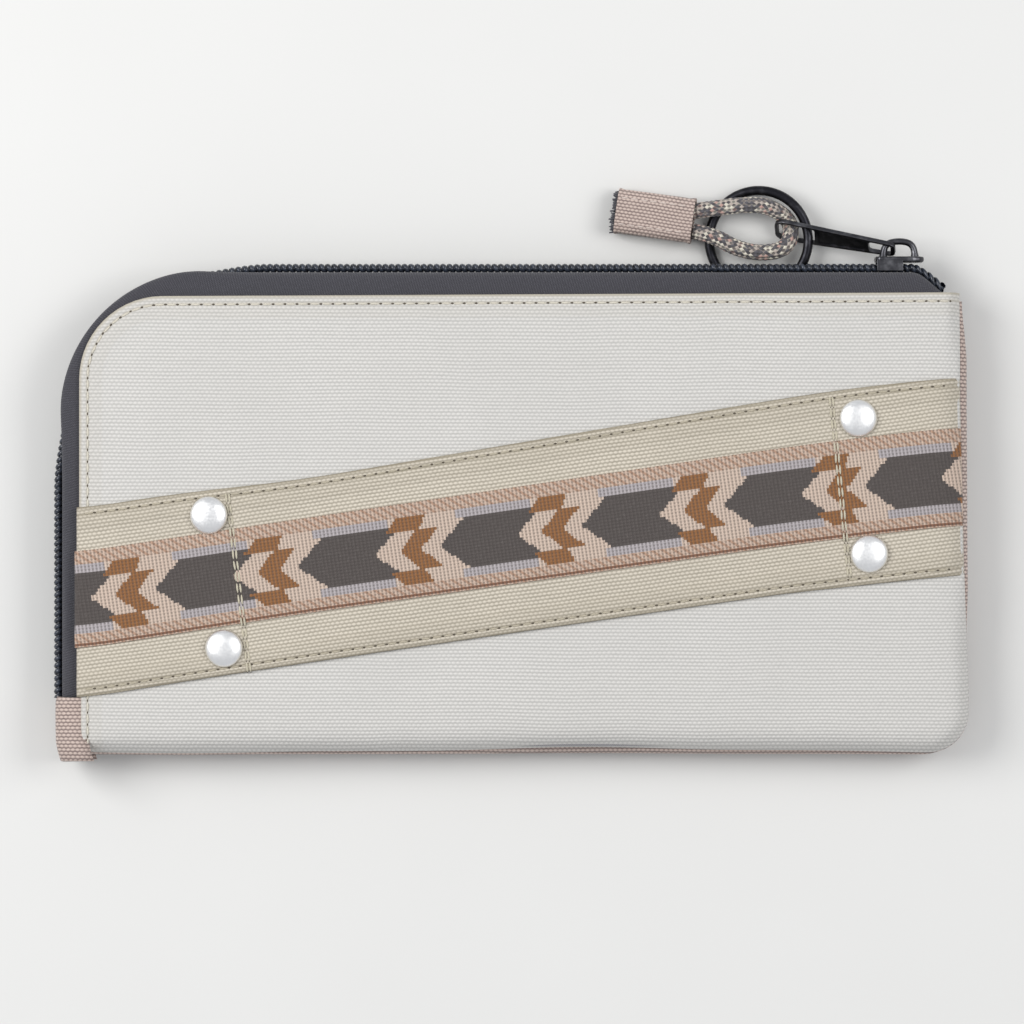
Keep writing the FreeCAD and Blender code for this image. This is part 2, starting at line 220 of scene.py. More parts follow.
# ---------------------------------------------------------------- mesh helpers
def spread(start, end, step, fine_start=0.0, fine_end=0.0):
    """Stations from start to end, close together over the first and last few mm."""
    def close(width, count):
        return [width * (1 - math.cos(math.pi / 2 * i / count)) for i in range(count)]

    head = [start + d for d in close(fine_start, 14)] if fine_start else []
    tail = [end - d for d in reversed(close(fine_end, 14))] if fine_end else []
    a, b = start + fine_start, end - fine_end
    count = max(2, round((b - a) / step))
    middle = [a + (b - a) * i / count for i in range(count + 1)]
    if tail:
        middle = middle[:-1] + [b]
    return head + middle + tail


def finish_mesh(bm, name, smooth_faces=True):
    """Scale from mm, make the object and link it."""
    bmesh.ops.scale(bm, vec=(MM, MM, MM), verts=bm.verts)
    for face in bm.faces:
        face.smooth = smooth_faces
    mesh = bpy.data.meshes.new(name)
    bm.to_mesh(mesh)
    bm.free()
    obj = bpy.data.objects.new(name, mesh)
    bpy.context.scene.collection.objects.link(obj)
    return obj


def cloth_grid(bm, us, vs, place, closed=False, flip=False):
    """A grid of cloth: station (u, v) goes to place(u, v), and the UV map holds (u, v) in mm."""
    made = bmesh.ops.create_grid(bm, x_segments=len(us) - 1, y_segments=len(vs) - 1, size=1)
    uv = bm.loops.layers.uv.verify()
    station = {}
    for vert in made["verts"]:
        i = round((vert.co.x + 1) / 2 * (len(us) - 1))
        j = round((vert.co.y + 1) / 2 * (len(vs) - 1))
        station[vert] = (us[i], vs[j])
    faces = {face for vert in made["verts"] for face in vert.link_faces}
    for face in faces:
        for loop in face.loops:
            loop[uv].uv = station[loop.vert]
    for vert, (u, v) in station.items():
        vert.co = place(u, v)
    if flip:
        bmesh.ops.reverse_faces(bm, faces=list(faces))
    if closed:
        bmesh.ops.remove_doubles(bm, verts=made["verts"], dist=0.002)


def close_tube(bm):
    """Turn a tube's faces outwards and close its two ends."""
    bmesh.ops.recalc_face_normals(bm, faces=bm.faces)
    bmesh.ops.holes_fill(bm, edges=[e for e in bm.edges if e.is_boundary], sides=0)


def mark(bm, name, value):
    """Store a number on each vertex, for a finish to read."""
    layer = bm.verts.layers.float.new(name)
    for vert in bm.verts:
        vert[layer] = value(vert)


def thicken(obj, thickness, offset=-1.0):
    """Give a sheet its cloth thickness, inwards from the face that shows."""
    wall = obj.modifiers.new("cloth thickness", "SOLIDIFY")
    wall.thickness = thickness * MM
    wall.offset = offset
    wall.use_even_offset = False
    wall.use_rim = True
    return obj


def fold_blend(obj):
    """Bake the placement of cloth that crosses the fold line into its mesh."""
    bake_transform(obj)


def give(obj, look):
    """Give a piece its finish."""
    obj.data.materials.append(FINISHES[look])
    return obj


def settle(obj, body, *nodes):
    """Ride on a body, or have the placement baked for the fold, and hide the CAD nodes it stands
    for.
    """
    if body == "fold":
        fold_blend(obj)
    else:
        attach(obj, body)
    if nodes:
        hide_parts(*nodes)
    return obj


# ---------------------------------------------------------------- material helpers
class Finish:
    """A material being made, with short calls for its nodes."""

    def __init__(self, name, roughness, metallic=0.0, sheen=0.0, coat=0.0):
        self.material = bpy.data.materials.new(name)
        self.material.use_nodes = True
        self.tree = self.material.node_tree
        self.shader = self.tree.nodes["Principled BSDF"]
        self.shader.inputs["Roughness"].default_value = roughness
        self.shader.inputs["Metallic"].default_value = metallic
        self.shader.inputs["Sheen Weight"].default_value = sheen
        self.shader.inputs["Coat Weight"].default_value = coat

    def put(self, socket, value):
        if isinstance(value, bpy.types.NodeSocket):
            self.tree.links.new(value, socket)
        else:
            socket.default_value = value

    def calc(self, operation, *values):
        node = self.tree.nodes.new("ShaderNodeMath")
        node.operation = operation
        for socket, value in zip(node.inputs, values):
            self.put(socket, value)
        return node.outputs[0]

    def ramp(self, value, low, high, to_low=0.0, to_high=1.0):
        node = self.tree.nodes.new("ShaderNodeMapRange")
        node.interpolation_type = "SMOOTHSTEP"
        for key, v in (
            ("Value", value), ("From Min", low), ("From Max", high),
            ("To Min", to_low), ("To Max", to_high),
        ):
            self.put(node.inputs[key], v)
        return node.outputs[0]

    def mix(self, factor, a, b):
        node = self.tree.nodes.new("ShaderNodeMix")
        node.data_type = "RGBA"
        self.put(node.inputs[0], factor)
        for socket, value in ((node.inputs[6], a), (node.inputs[7], b)):
            self.put(socket, value if isinstance(value, bpy.types.NodeSocket) else (*value, 1.0))
        return node.outputs[2]

    def place(self, turn=0.0, uv=False):
        """Position in mm as (x, y, z) sockets, from the object or from its own UV map."""
        where = self.tree.nodes.new("ShaderNodeTexCoord")
        shift = self.tree.nodes.new("ShaderNodeMapping")
        self.tree.links.new(where.outputs["UV" if uv else "Object"], shift.inputs["Vector"])
        size = 1.0 if uv else 1000.0
        shift.inputs["Scale"].default_value = (size, size, size)
        shift.inputs["Rotation"].default_value = (0, 0, math.radians(-turn))
        split = self.tree.nodes.new("ShaderNodeSeparateXYZ")
        self.tree.links.new(shift.outputs[0], split.inputs[0])
        self.vector = shift.outputs[0]
        return split.outputs[0], split.outputs[1], split.outputs[2]

    def noise(self, scale, detail=2.0, stretch=(1, 1, 1)):
        shift = self.tree.nodes.new("ShaderNodeMapping")
        shift.inputs["Scale"].default_value = stretch
        self.tree.links.new(self.vector, shift.inputs["Vector"])
        node = self.tree.nodes.new("ShaderNodeTexNoise")
        node.inputs["Scale"].default_value = scale
        node.inputs["Detail"].default_value = detail
        self.tree.links.new(shift.outputs[0], node.inputs["Vector"])
        return node.outputs["Fac"]

    def wave(self, value, pitch):
        return self.calc("SINE", self.calc("MULTIPLY", value, 2 * math.pi / pitch))

    def colour(self, value):
        self.put(self.shader.inputs["Base Color"], value)

    def bump(self, height, depth, strength=1.0):
        node = self.tree.nodes.new("ShaderNodeBump")
        node.inputs["Strength"].default_value = strength
        node.inputs["Distance"].default_value = depth * MM
        self.put(node.inputs["Height"], height)
        self.put(self.shader.inputs["Normal"], node.outputs[0])


def canvas(name, light, dark, pitch, turn=0.0, wear_and_shade=None):
    """Coarse plain weave: pale floats over darker crossings, with uneven threads.

    The last argument, when given, is a darker colour: painted shade on the rolled folded edge and
    in the stitched groove, and a slight darkening of the whole folded band; the piece's "edge"
    attribute places it.
    """
    f = Finish(name, roughness=0.82, sheen=0.08)
    x, y, _ = f.place(turn)
    x = f.calc("ADD", x, f.calc("MULTIPLY", f.noise(0.55, 2.0, (0.5, 2.2, 1)), 0.35))
    y = f.calc("ADD", y, f.calc("MULTIPLY", f.noise(0.03, 2.0), 1.2))
    across, along = f.wave(x, pitch), f.wave(y, pitch * ROW_SPACING)
    bricks = f.calc("MULTIPLY", f.calc("MULTIPLY", across, along), 0.55)
    rows = f.calc("MULTIPLY_ADD", f.calc("MULTIPLY", along, along), 1.1, -0.55)
    weave = f.calc("ADD", bricks, rows)
    thread = f.noise(1.4, 3.0, (0.35, 3.0, 1))
    cloud = f.noise(0.05, 3.0)
    tone = f.mix(f.ramp(weave, -0.65, 0.60), dark, light)
    tone = f.mix(f.ramp(thread, 0.3, 0.7, 0.0, 0.22), tone, light)
    tone = f.mix(f.ramp(cloud, 0.3, 0.7, 0.0, 0.12), tone, dark)
    if wear_and_shade:
        from_edge = f.tree.nodes.new("ShaderNodeAttribute")
        from_edge.attribute_name = "edge"
        e = from_edge.outputs["Fac"]
        # painted shade along the rolled folded edge
        tone = f.mix(f.ramp(e, 0.0, 0.9, 0.75, 0.0), tone, wear_and_shade)
        # painted shade in the groove that the stitches pull
        from_seam = f.calc("ABSOLUTE", f.calc("SUBTRACT", e, 1.75))
        groove = f.calc("SUBTRACT", 1.0, f.ramp(from_seam, 0.0, 0.55))
        tone = f.mix(f.calc("MULTIPLY", groove, 0.40), tone, wear_and_shade)
        # the whole folded band a little darker, out to where it ends
        tone = f.mix(f.ramp(e, 4.6, 5.4, 0.10, 0.0), tone, wear_and_shade)
    f.colour(tone)
    f.put(f.shader.inputs["Roughness"], f.ramp(thread, 0.2, 0.8, 0.74, 0.90))
    height = f.calc("ADD", f.calc("MULTIPLY", weave, 0.5), f.calc("MULTIPLY", thread, 0.25))
    f.bump(height, 0.16, 0.9)
    return f.material


def tape_cloth(name, light, dark):
    """Close twill of the zip tape."""
    f = Finish(name, roughness=0.88, sheen=0.12)
    u, v, _ = f.place(uv=True)
    slant = f.wave(f.calc("ADD", u, f.calc("MULTIPLY", v, 0.6)), 0.55)
    rows = f.wave(v, 0.62)
    speck = f.noise(1.9, 3.0)
    weave = f.calc("MULTIPLY", slant, rows)
    tone = f.mix(f.ramp(weave, -0.5, 0.8), dark, light)
    tone = f.mix(f.ramp(speck, 0.35, 0.65, 0.0, 0.45), tone, dark)
    f.colour(tone)
    f.bump(f.calc("ADD", weave, speck), 0.10, 0.8)
    return f.material


def plain_cloth(name, tint, shade):
    """Thin smooth lining with a fine weave and soft creases, with painted shade in the creases."""
    f = Finish(name, roughness=0.7, sheen=0.1)
    x, y, _ = f.place()
    weave = f.calc("MULTIPLY", f.wave(x, 0.42), f.wave(y, 0.42))
    crease = f.noise(0.12, 4.0)
    tone = f.mix(f.ramp(weave, -0.6, 0.6), shade, tint)
    # painted shade in the soft creases
    f.colour(f.mix(f.ramp(crease, 0.35, 0.7, 0.0, 0.3), tone, shade))
    f.bump(f.calc("ADD", f.calc("MULTIPLY", weave, 0.2), f.calc("MULTIPLY", crease, 2.0)), 0.2, 0.6)
    return f.material


def nylon(name, tint, glint):
    """Hard moulded black nylon, mottled with a painted bluish glint."""
    f = Finish(name, roughness=0.30, coat=0.1)
    f.place()
    mottle = f.noise(1.2, 2.0)
    f.colour(f.mix(f.ramp(mottle, 0.35, 0.7), tint, glint))
    f.bump(mottle, 0.03, 0.4)
    return f.material


def metal(name, tint, wear_and_shade, roughness, grain=(1, 1, 1)):
    """Plated metal with faint grain and lighter patches of wear."""
    f = Finish(name, roughness=roughness, metallic=1.0)
    f.place()
    brushed = f.noise(2.4, 3.0, grain)
    patch = f.noise(0.45, 4.0)
    f.colour(f.mix(f.ramp(patch, 0.45, 0.75, 0.0, 0.8), tint, wear_and_shade))
    f.put(
        f.shader.inputs["Roughness"],
        f.ramp(brushed, 0.2, 0.8, roughness - 0.07, roughness + 0.09))
    f.bump(brushed, 0.012, 0.5)
    return f.material


def thread(name, tint, shade):
    """Twisted sewing thread."""
    f = Finish(name, roughness=0.6, sheen=0.2)
    x, y, _ = f.place()
    twist = f.wave(f.calc("ADD", x, y), 0.28)
    f.colour(f.mix(f.ramp(twist, -0.7, 0.7), shade, tint))
    f.bump(twist, 0.04, 0.6)
    return f.material


def woven_ribbon():
    """Arrow and chevron pattern on ribbed ribbon.

    u runs along the ribbon in mm, and v across it from the middle.
    """
    f = Finish("woven ribbon", roughness=0.72, sheen=0.12)
    u, v, _ = f.place(uv=True)
    repeat = 31.2
    # stepped edges, as a loom makes them
    u_step = f.calc("MULTIPLY", f.calc("FLOOR", f.calc("DIVIDE", u, 0.55)), 0.55)
    v_cell = f.calc("FLOOR", f.calc("DIVIDE", v, 0.62))
    v_step = f.calc("MULTIPLY", f.calc("ADD", v_cell, 0.5), 0.62)
    w = f.calc("ABSOLUTE", v_step)
    t = f.calc("MODULO", f.calc("ADD", u_step, repeat * 20), repeat)

    def below(a, b):
        return f.calc("LESS_THAN", a, b)

    def over(a, b):
        return f.calc("GREATER_THAN", a, b)

    def both(*parts):
        result = parts[0]
        for part in parts[1:]:
            result = f.calc("MULTIPLY", result, part)
        return result

    def plus(value, times, offset):
        return f.calc("MULTIPLY_ADD", value, times, offset)

    pink, grey = (0.52, 0.405, 0.325), (0.36, 0.326, 0.33)
    dark, rust = (0.060, 0.048, 0.043), (0.225, 0.090, 0.022)
    shade = both(over(w, 5.3), below(w, 7.6), over(t, 4.5), below(t, 21.0))
    tone = f.mix(shade, pink, grey)
    arrow = both(below(w, plus(t, 0.9, 0.0)), below(w, 5.3), below(t, plus(w, 1.17, 17.0)))
    tone = f.mix(arrow, tone, dark)
    chevron = both(below(w, 4.5), over(t, plus(w, 1.0, 22.4)), below(t, plus(w, 1.0, 27.2)))
    tone = f.mix(chevron, tone, rust)
    arm = both(
        over(w, 4.4), below(w, 7.5), over(t, plus(w, 0.95, 15.9)), below(t, plus(w, 0.5, 25.3)))
    tone = f.mix(arm, tone, rust)
    border = over(w, 7.6)
    fleck = f.wave(f.calc("ADD", u, f.calc("MULTIPLY", v, 1.2)), 2.1)
    border_tone = f.mix(
        f.ramp(fleck, 0.0, 0.7, 0.0, 0.6), (0.48, 0.355, 0.275), (0.30, 0.145, 0.075))
    tone = f.mix(border, tone, border_tone)
    rule = both(below(v, -9.55), over(v, -10.1))
    tone = f.mix(rule, tone, (0.19, 0.085, 0.045))
    ribs = f.wave(u, 0.82)
    rows = f.wave(v, 0.7)
    weave = f.calc("ADD", f.calc("MULTIPLY", ribs, 0.7), f.calc("MULTIPLY", rows, 0.3))
    # painted shade in the hollows between the ribs and rows
    tone = f.mix(f.ramp(weave, -1.0, 0.35, 0.62, 0.0), tone, (0.04, 0.032, 0.028))
    fluff = f.noise(1.3, 3.0)
    tone = f.mix(f.ramp(fluff, 0.5, 0.8, 0.0, 0.05), tone, (0.50, 0.45, 0.42))
    f.colour(tone)
    f.bump(f.calc("ADD", weave, f.calc("MULTIPLY", fluff, 0.4)), 0.14, 0.8)
    return f.material


def braid():
    """Round braid of mixed grey, mauve and pale yarns; the strands are in the mesh too."""
    f = Finish("braided cord", roughness=0.8, sheen=0.15)
    u, v, _ = f.place(uv=True)
    # u along the cord in mm, v round it in turns
    one = f.calc("ADD", f.calc("MULTIPLY", v, 6.0), f.calc("DIVIDE", u, 2.1))
    two = f.calc("SUBTRACT", f.calc("MULTIPLY", v, 6.0), f.calc("DIVIDE", u, 2.1))
    weave = f.calc("MULTIPLY", f.wave(one, 1.0), f.wave(two, 1.0))
    cell = f.tree.nodes.new("ShaderNodeTexWhiteNoise")
    cell.noise_dimensions = "2D"
    join = f.tree.nodes.new("ShaderNodeCombineXYZ")
    f.put(join.inputs[0], f.calc("FLOOR", f.calc("MULTIPLY", one, 2.0)))
    f.put(join.inputs[1], f.calc("FLOOR", f.calc("MULTIPLY", two, 2.0)))
    f.tree.links.new(join.outputs[0], cell.inputs["Vector"])
    pick = cell.outputs["Value"]
    tone = f.mix(f.calc("GREATER_THAN", pick, 0.42), (0.085, 0.080, 0.088), (0.40, 0.345, 0.30))
    tone = f.mix(f.calc("GREATER_THAN", pick, 0.72), tone, (0.58, 0.54, 0.45))
    tone = f.mix(f.calc("GREATER_THAN", pick, 0.92), tone, (0.42, 0.27, 0.23))
    # painted shade in the crevices between the strands, where the mesh dips too
    tone = f.mix(f.ramp(weave, -0.35, 0.1, 0.75, 0.0), tone, (0.05, 0.045, 0.045))
    f.colour(tone)
    f.bump(weave, 0.16, 0.8)
    return f.material


FINISHES = {}


# ---------------------------------------------------------------- sizes and colours
class POUCH_PG_sizes(bpy.types.PropertyGroup):
    """Sizes of the sewn and woven details."""

    stitch_pitch: FloatProperty(
        name="Stitch pitch", description="Distance from one stitch to the next",
        default=2.6 * MM, min=1.0 * MM, max=6.0 * MM, unit="LENGTH", precision=5,
    )
    weave_pitch: FloatProperty(
        name="Weave pitch", description="Distance over one pair of canvas threads",
        default=1.01 * MM, min=0.3 * MM, max=3.0 * MM, unit="LENGTH", precision=5,
    )
    tooth_pitch: FloatProperty(
        name="Tooth pitch", description="Distance from one coil tooth to the next",
        default=1.4 * MM, min=0.8 * MM, max=3.0 * MM, unit="LENGTH", precision=5,
    )
    canvas_thickness: FloatProperty(
        name="Canvas thickness", description="Thickness of the outer canvas",
        default=0.8 * MM, min=0.3 * MM, max=2.0 * MM, unit="LENGTH", precision=5,
    )
    lamp_power: FloatProperty(
        name="Studio light", description="Power of the main soft light",
        default=6.2, min=0.0, max=100.0, unit="POWER",
    )


def colour_setting(label, description, default):
    return FloatVectorProperty(
        name=label, description=description, subtype="COLOR", size=3,
        default=default, min=0.0, max=1.0,
    )


class POUCH_PG_colours(bpy.types.PropertyGroup):
    """Main colours of the cloth and metal."""

    front: colour_setting("Front canvas", "Pale threads of the front", (0.591, 0.573, 0.5425))
    front_shade: colour_setting(
        "Front crossings", "Darker threads of the front", (0.397, 0.3885, 0.366))
    back: colour_setting("Back canvas", "Pale threads of the back", (0.55, 0.44, 0.385))
    back_shade: colour_setting("Back crossings", "Darker threads of the back", (0.15, 0.11, 0.098))
    strap: colour_setting("Strap canvas", "Pale threads of the strap", (0.58, 0.525, 0.435))
    strap_shade: colour_setting(
        "Strap crossings", "Darker threads of the strap", (0.28, 0.25, 0.195))
    tape: colour_setting("Zip tape", "Woven tape of the zip", (0.072, 0.071, 0.083))
    nickel: colour_setting("Rivets", "Satin metal of the rivet caps", (0.93, 0.925, 0.91))
    gunmetal: colour_setting("Zip pull", "Dark plating of slider and tab", (0.06, 0.06, 0.066))


def sizes():
    return bpy.context.scene.pouch_sizes


def tint(name):
    return tuple(getattr(bpy.context.scene.pouch_colours, name))


def make_finishes():
    pitch = sizes().weave_pitch / MM
    back = (tint("back"), tint("back_shade"))
    FINISHES.update(
        # The darker last colour of the front and strap canvas is painted shade on their folded
        # edges and stitch grooves.
        front=canvas(
            "ivory canvas", tint("front"), tint("front_shade"), pitch, wear_and_shade=(0.36, 0.32, 0.24)),
        back=canvas("mauve canvas", *back, pitch),
        sleeve=canvas("mauve sleeve canvas", *back, pitch * 0.9, -9),
        strap=canvas(
            "khaki canvas", tint("strap"), tint("strap_shade"), pitch, 8.3,
            wear_and_shade=(0.20, 0.17, 0.115)),
        ribbon=woven_ribbon(),
        tape=tape_cloth("charcoal tape", tint("tape"), (0.032, 0.031, 0.038)),
        lining=plain_cloth("grey lining", (0.30, 0.29, 0.29), (0.20, 0.195, 0.20)),
        coil=nylon("black nylon", (0.012, 0.014, 0.020), (0.032, 0.040, 0.058)),
        nickel=metal("satin nickel", tint("nickel"), (0.96, 0.96, 0.95), 0.36),
        gunmetal=metal("gunmetal", tint("gunmetal"), (0.17, 0.17, 0.18), 0.34),
        black=metal("black wire", (0.022, 0.022, 0.026), (0.06, 0.06, 0.066), 0.38),
        cord=braid(),
        thread=thread("cream thread", (0.70, 0.66, 0.56), (0.46, 0.42, 0.34)),
        strap_thread=thread("khaki thread", (0.50, 0.45, 0.34), (0.30, 0.26, 0.19)),
        cross_thread=thread("pale khaki thread", (0.60, 0.55, 0.42), (0.40, 0.36, 0.27)),
        mauve_thread=thread("pink thread", (0.66, 0.56, 0.50), (0.42, 0.34, 0.30)),
        # dark spots of painted shade at the needle holes
        hole=thread("needle holes", (0.10, 0.075, 0.045), (0.05, 0.038, 0.022)),
        fray=thread("frayed ends", (0.06, 0.058, 0.07), (0.02, 0.02, 0.028)),
    )


# ---------------------------------------------------------------- panels
def hem_top(x):
    return HEM_TOP - 0.15 + 0.45 * x / 97


def front_reach(x):
    """Lowest and highest Y of the front panel at X."""
    high = hem_top(x) - corner_drop(R_HEM, HEM_LEFT + R_HEM - x)
    low = BOTTOM + low_edge(x) + corner_drop(R_BOTTOM_RIGHT, x - RIGHT + R_BOTTOM_RIGHT)
    return low + corner_drop(3, HEM_LEFT + 3 - x), high


def hem_distance(x, y):
    """How far a point of the front lies in from its folded hem."""
    cx, cy = HEM_LEFT + R_HEM, hem_top(x) - R_HEM
    if x < cx and y > cy:
        return R_HEM - math.hypot(x - cx, y - cy)
    return min(x - HEM_LEFT, hem_top(x) - y)


def hem_relief(x, y):
    """Folded hem: rounded edge, a full band, and the dip that the stitches pull."""
    e = hem_distance(x, y)
    edge = -0.30 * (1 - smooth(0.0, 0.9, e))
    band = 0.16 * (1 - smooth(4.6, 6.2, e))
    run = x + y
    dip = -0.20 * math.exp(-(((e - 1.9) / 0.5) ** 2)) * (0.75 + 0.25 * math.sin(run * 2.4))
    pucker = 0.06 * math.sin(run * 2.417) * math.exp(-(((e - 3.2) / 1.8) ** 2))
    return edge + band + dip + pucker


def warped(x, y, z):
    return Vector((x + lean(x, y), y, z))


def panel_rows():
    """Rows from the lower edge to the hem as shares of the width."""
    rows = spread(0.0, 100.0, 0.85, fine_start=9.0)
    return [r / 100.0 for r in rows[:-6]] + [
        (100 - d) / 100 for d in (3.6, 2.9, 2.4, 2.1, 1.8, 1.5, 1.1, 0.75, 0.45, 0.2, 0.0)]


def front_panel_mesh():
    bm = bmesh.new()
    columns = spread(HEM_LEFT, RIGHT, 0.85, fine_start=R_HEM, fine_end=9.0)
    rows = panel_rows()

    def at(x, share):
        low, high = front_reach(x)
        y = low + (high - low) * share
        z = front_height(x, y - low_edge(x) * (1 - share) ** 12)
        point = warped(x, y, z + seam_lift(x, y, z) + hem_relief(x, y))
        edge[(point.x, point.y)] = hem_distance(x, y)
        return point

    edge = {}
    cloth_grid(bm, columns, rows, at)
    mark(bm, "edge", lambda vert: edge.get((vert.co.x, vert.co.y), 9.0))
    return finish_mesh(bm, "front_canvas")


def back_panel_mesh():
    bm = bmesh.new()
    columns = spread(BACK_HEM_LEFT, RIGHT, 1.2, fine_start=R_HEM, fine_end=9.0)
    rows = [r / 100 for r in spread(0.0, 100.0, 1.2, fine_start=9.0)]

    def at(x, share):
        high = BACK_HEM_TOP - corner_drop(R_HEM, BACK_HEM_LEFT + R_HEM - x)
        low = BOTTOM + corner_drop(R_BOTTOM_RIGHT, x - RIGHT + R_BOTTOM_RIGHT)
        y = low + (high - low) * share
        z = back_height(x, y)
        inset = max(sewn_inset(x, y), 0.0)
        rim = math.exp(-inset / 0.35)
        belly = inset / 0.6 * math.exp(1 - inset / 0.6)
        push = lean(x, y) * rim + (0.5 + 0.9 * pull_over(x, y)) * belly * smooth(88, 98, x)
        lower = (1 - smooth(-48, -44, y)) * (1 - smooth(88, 98, x))
        raise_y = low_edge(x) * rim * lower - 0.85 * belly * lower
        z += seam_lift(x, y, 7.5) * smooth(2.5, 7.5, z)
        edge = min(x - BACK_HEM_LEFT, high - y)
        lip = 0.25 * (1 - smooth(0.0, 0.8, edge)) if edge < 1 else 0.0
        return Vector((x + push, y + raise_y, z + lip))

    cloth_grid(bm, columns, rows, at, flip=True)
    return finish_mesh(bm, "back_canvas")


def lining_mesh(front):
    """Lining a little inside a panel, from the zip tape to the seams."""
    bm = bmesh.new()
    rim, seam, depth = 8.0, 1.8, 1.45  # how far in it ends at the zip and the seams, and its depth
    left, top, radius = LEFT + rim, TOP - rim, R_RIM - rim
    columns = spread(left, RIGHT - seam, 2.5, fine_start=radius, fine_end=7.0)
    rows = [r / 100 for r in spread(0.0, 100.0, 2.5, fine_start=7.0)]

    def at(x, share):
        high = top - corner_drop(radius, left + radius - x)
        low = BOTTOM + seam + corner_drop(R_BOTTOM_RIGHT - seam, x - RIGHT + R_BOTTOM_RIGHT)
        y = low + (high - low) * share
        if front:
            z = max(front_height(x, y) - depth - 0.4, 7.8)
        else:
            z = min(back_height(x, y) + depth + 0.1, 7.2)
        return Vector((x, y, z + 0.12 * noise.noise(Vector((x * 0.1, y * 0.1, 1.0)))))

    cloth_grid(bm, columns, rows, at, flip=front)
    return finish_mesh(bm, "front_lining_cloth" if front else "back_lining_cloth")


# ---------------------------------------------------------------- zip
SIDE_RUN = TOP - R_RIM - ZIP_END_Y
CORNER_RUN = math.pi / 2 * R_RIM
TOP_RUN = ZIP_END_X - LEFT - R_RIM
ZIP_RUN = SIDE_RUN + CORNER_RUN + TOP_RUN


def rim_point(s, inset):
    """Point at distance s along the zip, inset from the rim."""
    if s < SIDE_RUN:
        return LEFT + inset, ZIP_END_Y + s
    if s < SIDE_RUN + CORNER_RUN:
        a = (s - SIDE_RUN) / R_RIM
        r = R_RIM - inset
        return LEFT + R_RIM - r * math.cos(a), TOP - R_RIM + r * math.sin(a)
    x = LEFT + R_RIM + s - SIDE_RUN - CORNER_RUN
    return x, TOP - inset - 5.4 * smooth(0, 1, (x - 87.5) / 9.0)


def tuck(s):
    """1 where the zip rolls under at the corner, 0 along the straight runs."""
    return smooth(SIDE_RUN - 16, SIDE_RUN + 6, s) * (
        1 - smooth(SIDE_RUN + CORNER_RUN - 8, SIDE_RUN + CORNER_RUN + 14, s))


def tape_mesh(front):
    """Tape from the teeth, over the rim and in under the panel."""
    profile = (
        ((0.8, 9.3), (0.8, 10.2), (0.8, 11.2), (0.85, 12.0), (1.1, 12.6), (1.6, 13.0), (2.3, 13.18),
         (3.2, 13.24), (4.4, 13.28), (6.5, 13.35), (10.0, 13.55), (13.6, 13.8))
        if front else
        ((0.8, 7.9), (0.8, 7.0), (0.8, 6.2), (0.85, 5.5), (1.1, 5.0), (1.6, 4.65), (2.3, 4.5),
         (3.2, 4.42), (4.4, 4.38), (6.5, 4.34), (10.0, 4.2), (13.6, 3.3))
    )
    widths = [0.0]
    for (a0, z0), (a1, z1) in zip(profile, profile[1:]):
        widths.append(widths[-1] + math.hypot(a1 - a0, z1 - z0))
    stations = spread(0.0, ZIP_RUN, 1.0)
    bm = bmesh.new()

    def at(s, w):
        i = min(range(len(widths)), key=lambda k: abs(widths[k] - w))
        inset, z = profile[i]
        low = 1 - smooth(9.3, 13.0, z) if front else smooth(4.6, 7.9, z)
        roll = tuck(s)
        inset += roll * (1.9 * low - 0.75 * (1 - low) * (1 - smooth(2.0, 6.0, inset)))
        wave = 0.12 * math.sin(s * 0.23) + 0.08 * noise.noise(Vector((s * 0.12, w * 0.3, 0)))
        x, y = rim_point(s, inset + wave * smooth(0.9, 2.5, inset) * (1 - smooth(8, 12, inset)))
        return Vector((x, y, z + wave * 0.5 * smooth(2, 5, inset)))

    cloth_grid(bm, stations, widths, at, flip=front)
    return finish_mesh(bm, "zip_tape_upper" if front else "zip_tape_lower")


def coil_parting(s):
    """0 along the zip, rising to 1 at its closed end, where the two rows part."""
    return smooth(89, 93, LEFT + R_RIM + s - SIDE_RUN - CORNER_RUN)


def coil_mesh(front):
    """Row of coil teeth: one long screw of nylon, flattened and laid along the rim."""
    pitch = sizes().tooth_pitch / MM
    turns = int((ZIP_RUN - 0.5) / pitch)
    steps, wire, sign = 10, 0.56, 1 if front else -1
    middle = ZIP_Z + sign * 1.32
    bm = bmesh.new()
    ring = bmesh.ops.create_circle(bm, segments=6, radius=wire, cap_ends=False)
    bmesh.ops.translate(bm, verts=ring["verts"], vec=(0, 1, 0))
    bmesh.ops.spin(
        bm, geom=list(bm.verts) + list(bm.edges), cent=(0, 0, 0), axis=(1, 0, 0),
        dvec=(pitch / steps, 0, 0), angle=2 * math.pi * turns * sign, steps=turns * steps,
        use_merge=False, use_duplicate=False)
    bmesh.ops.recalc_face_normals(bm, faces=bm.faces)
    for vert in bm.verts:
        s, across, up = vert.co
        parting = coil_parting(s)
        inset = -0.15 - across * 0.64 * (1 + 0.45 * parting) + tuck(s) * 2.6
        x, y = rim_point(max(s, 0.0), inset)
        vert.co = Vector((x, y, middle + up * 0.80 + sign * 0.9 * parting))

    def core(s, a):
        x, y = rim_point(s, -0.05 + 0.55 * math.cos(a) + tuck(s) * 2.6)
        return Vector((x, y, middle + sign * 0.9 * coil_parting(s) + 0.75 * math.sin(a)))

    around = [math.pi / 4 * i for i in range(9)]
    cloth_grid(bm, spread(0.0, turns * pitch, 1.5), around, core, closed=True)
    bmesh.ops.recalc_face_normals(bm, faces=bm.faces)
    return finish_mesh(bm, "zip_coil_upper" if front else "zip_coil_lower")


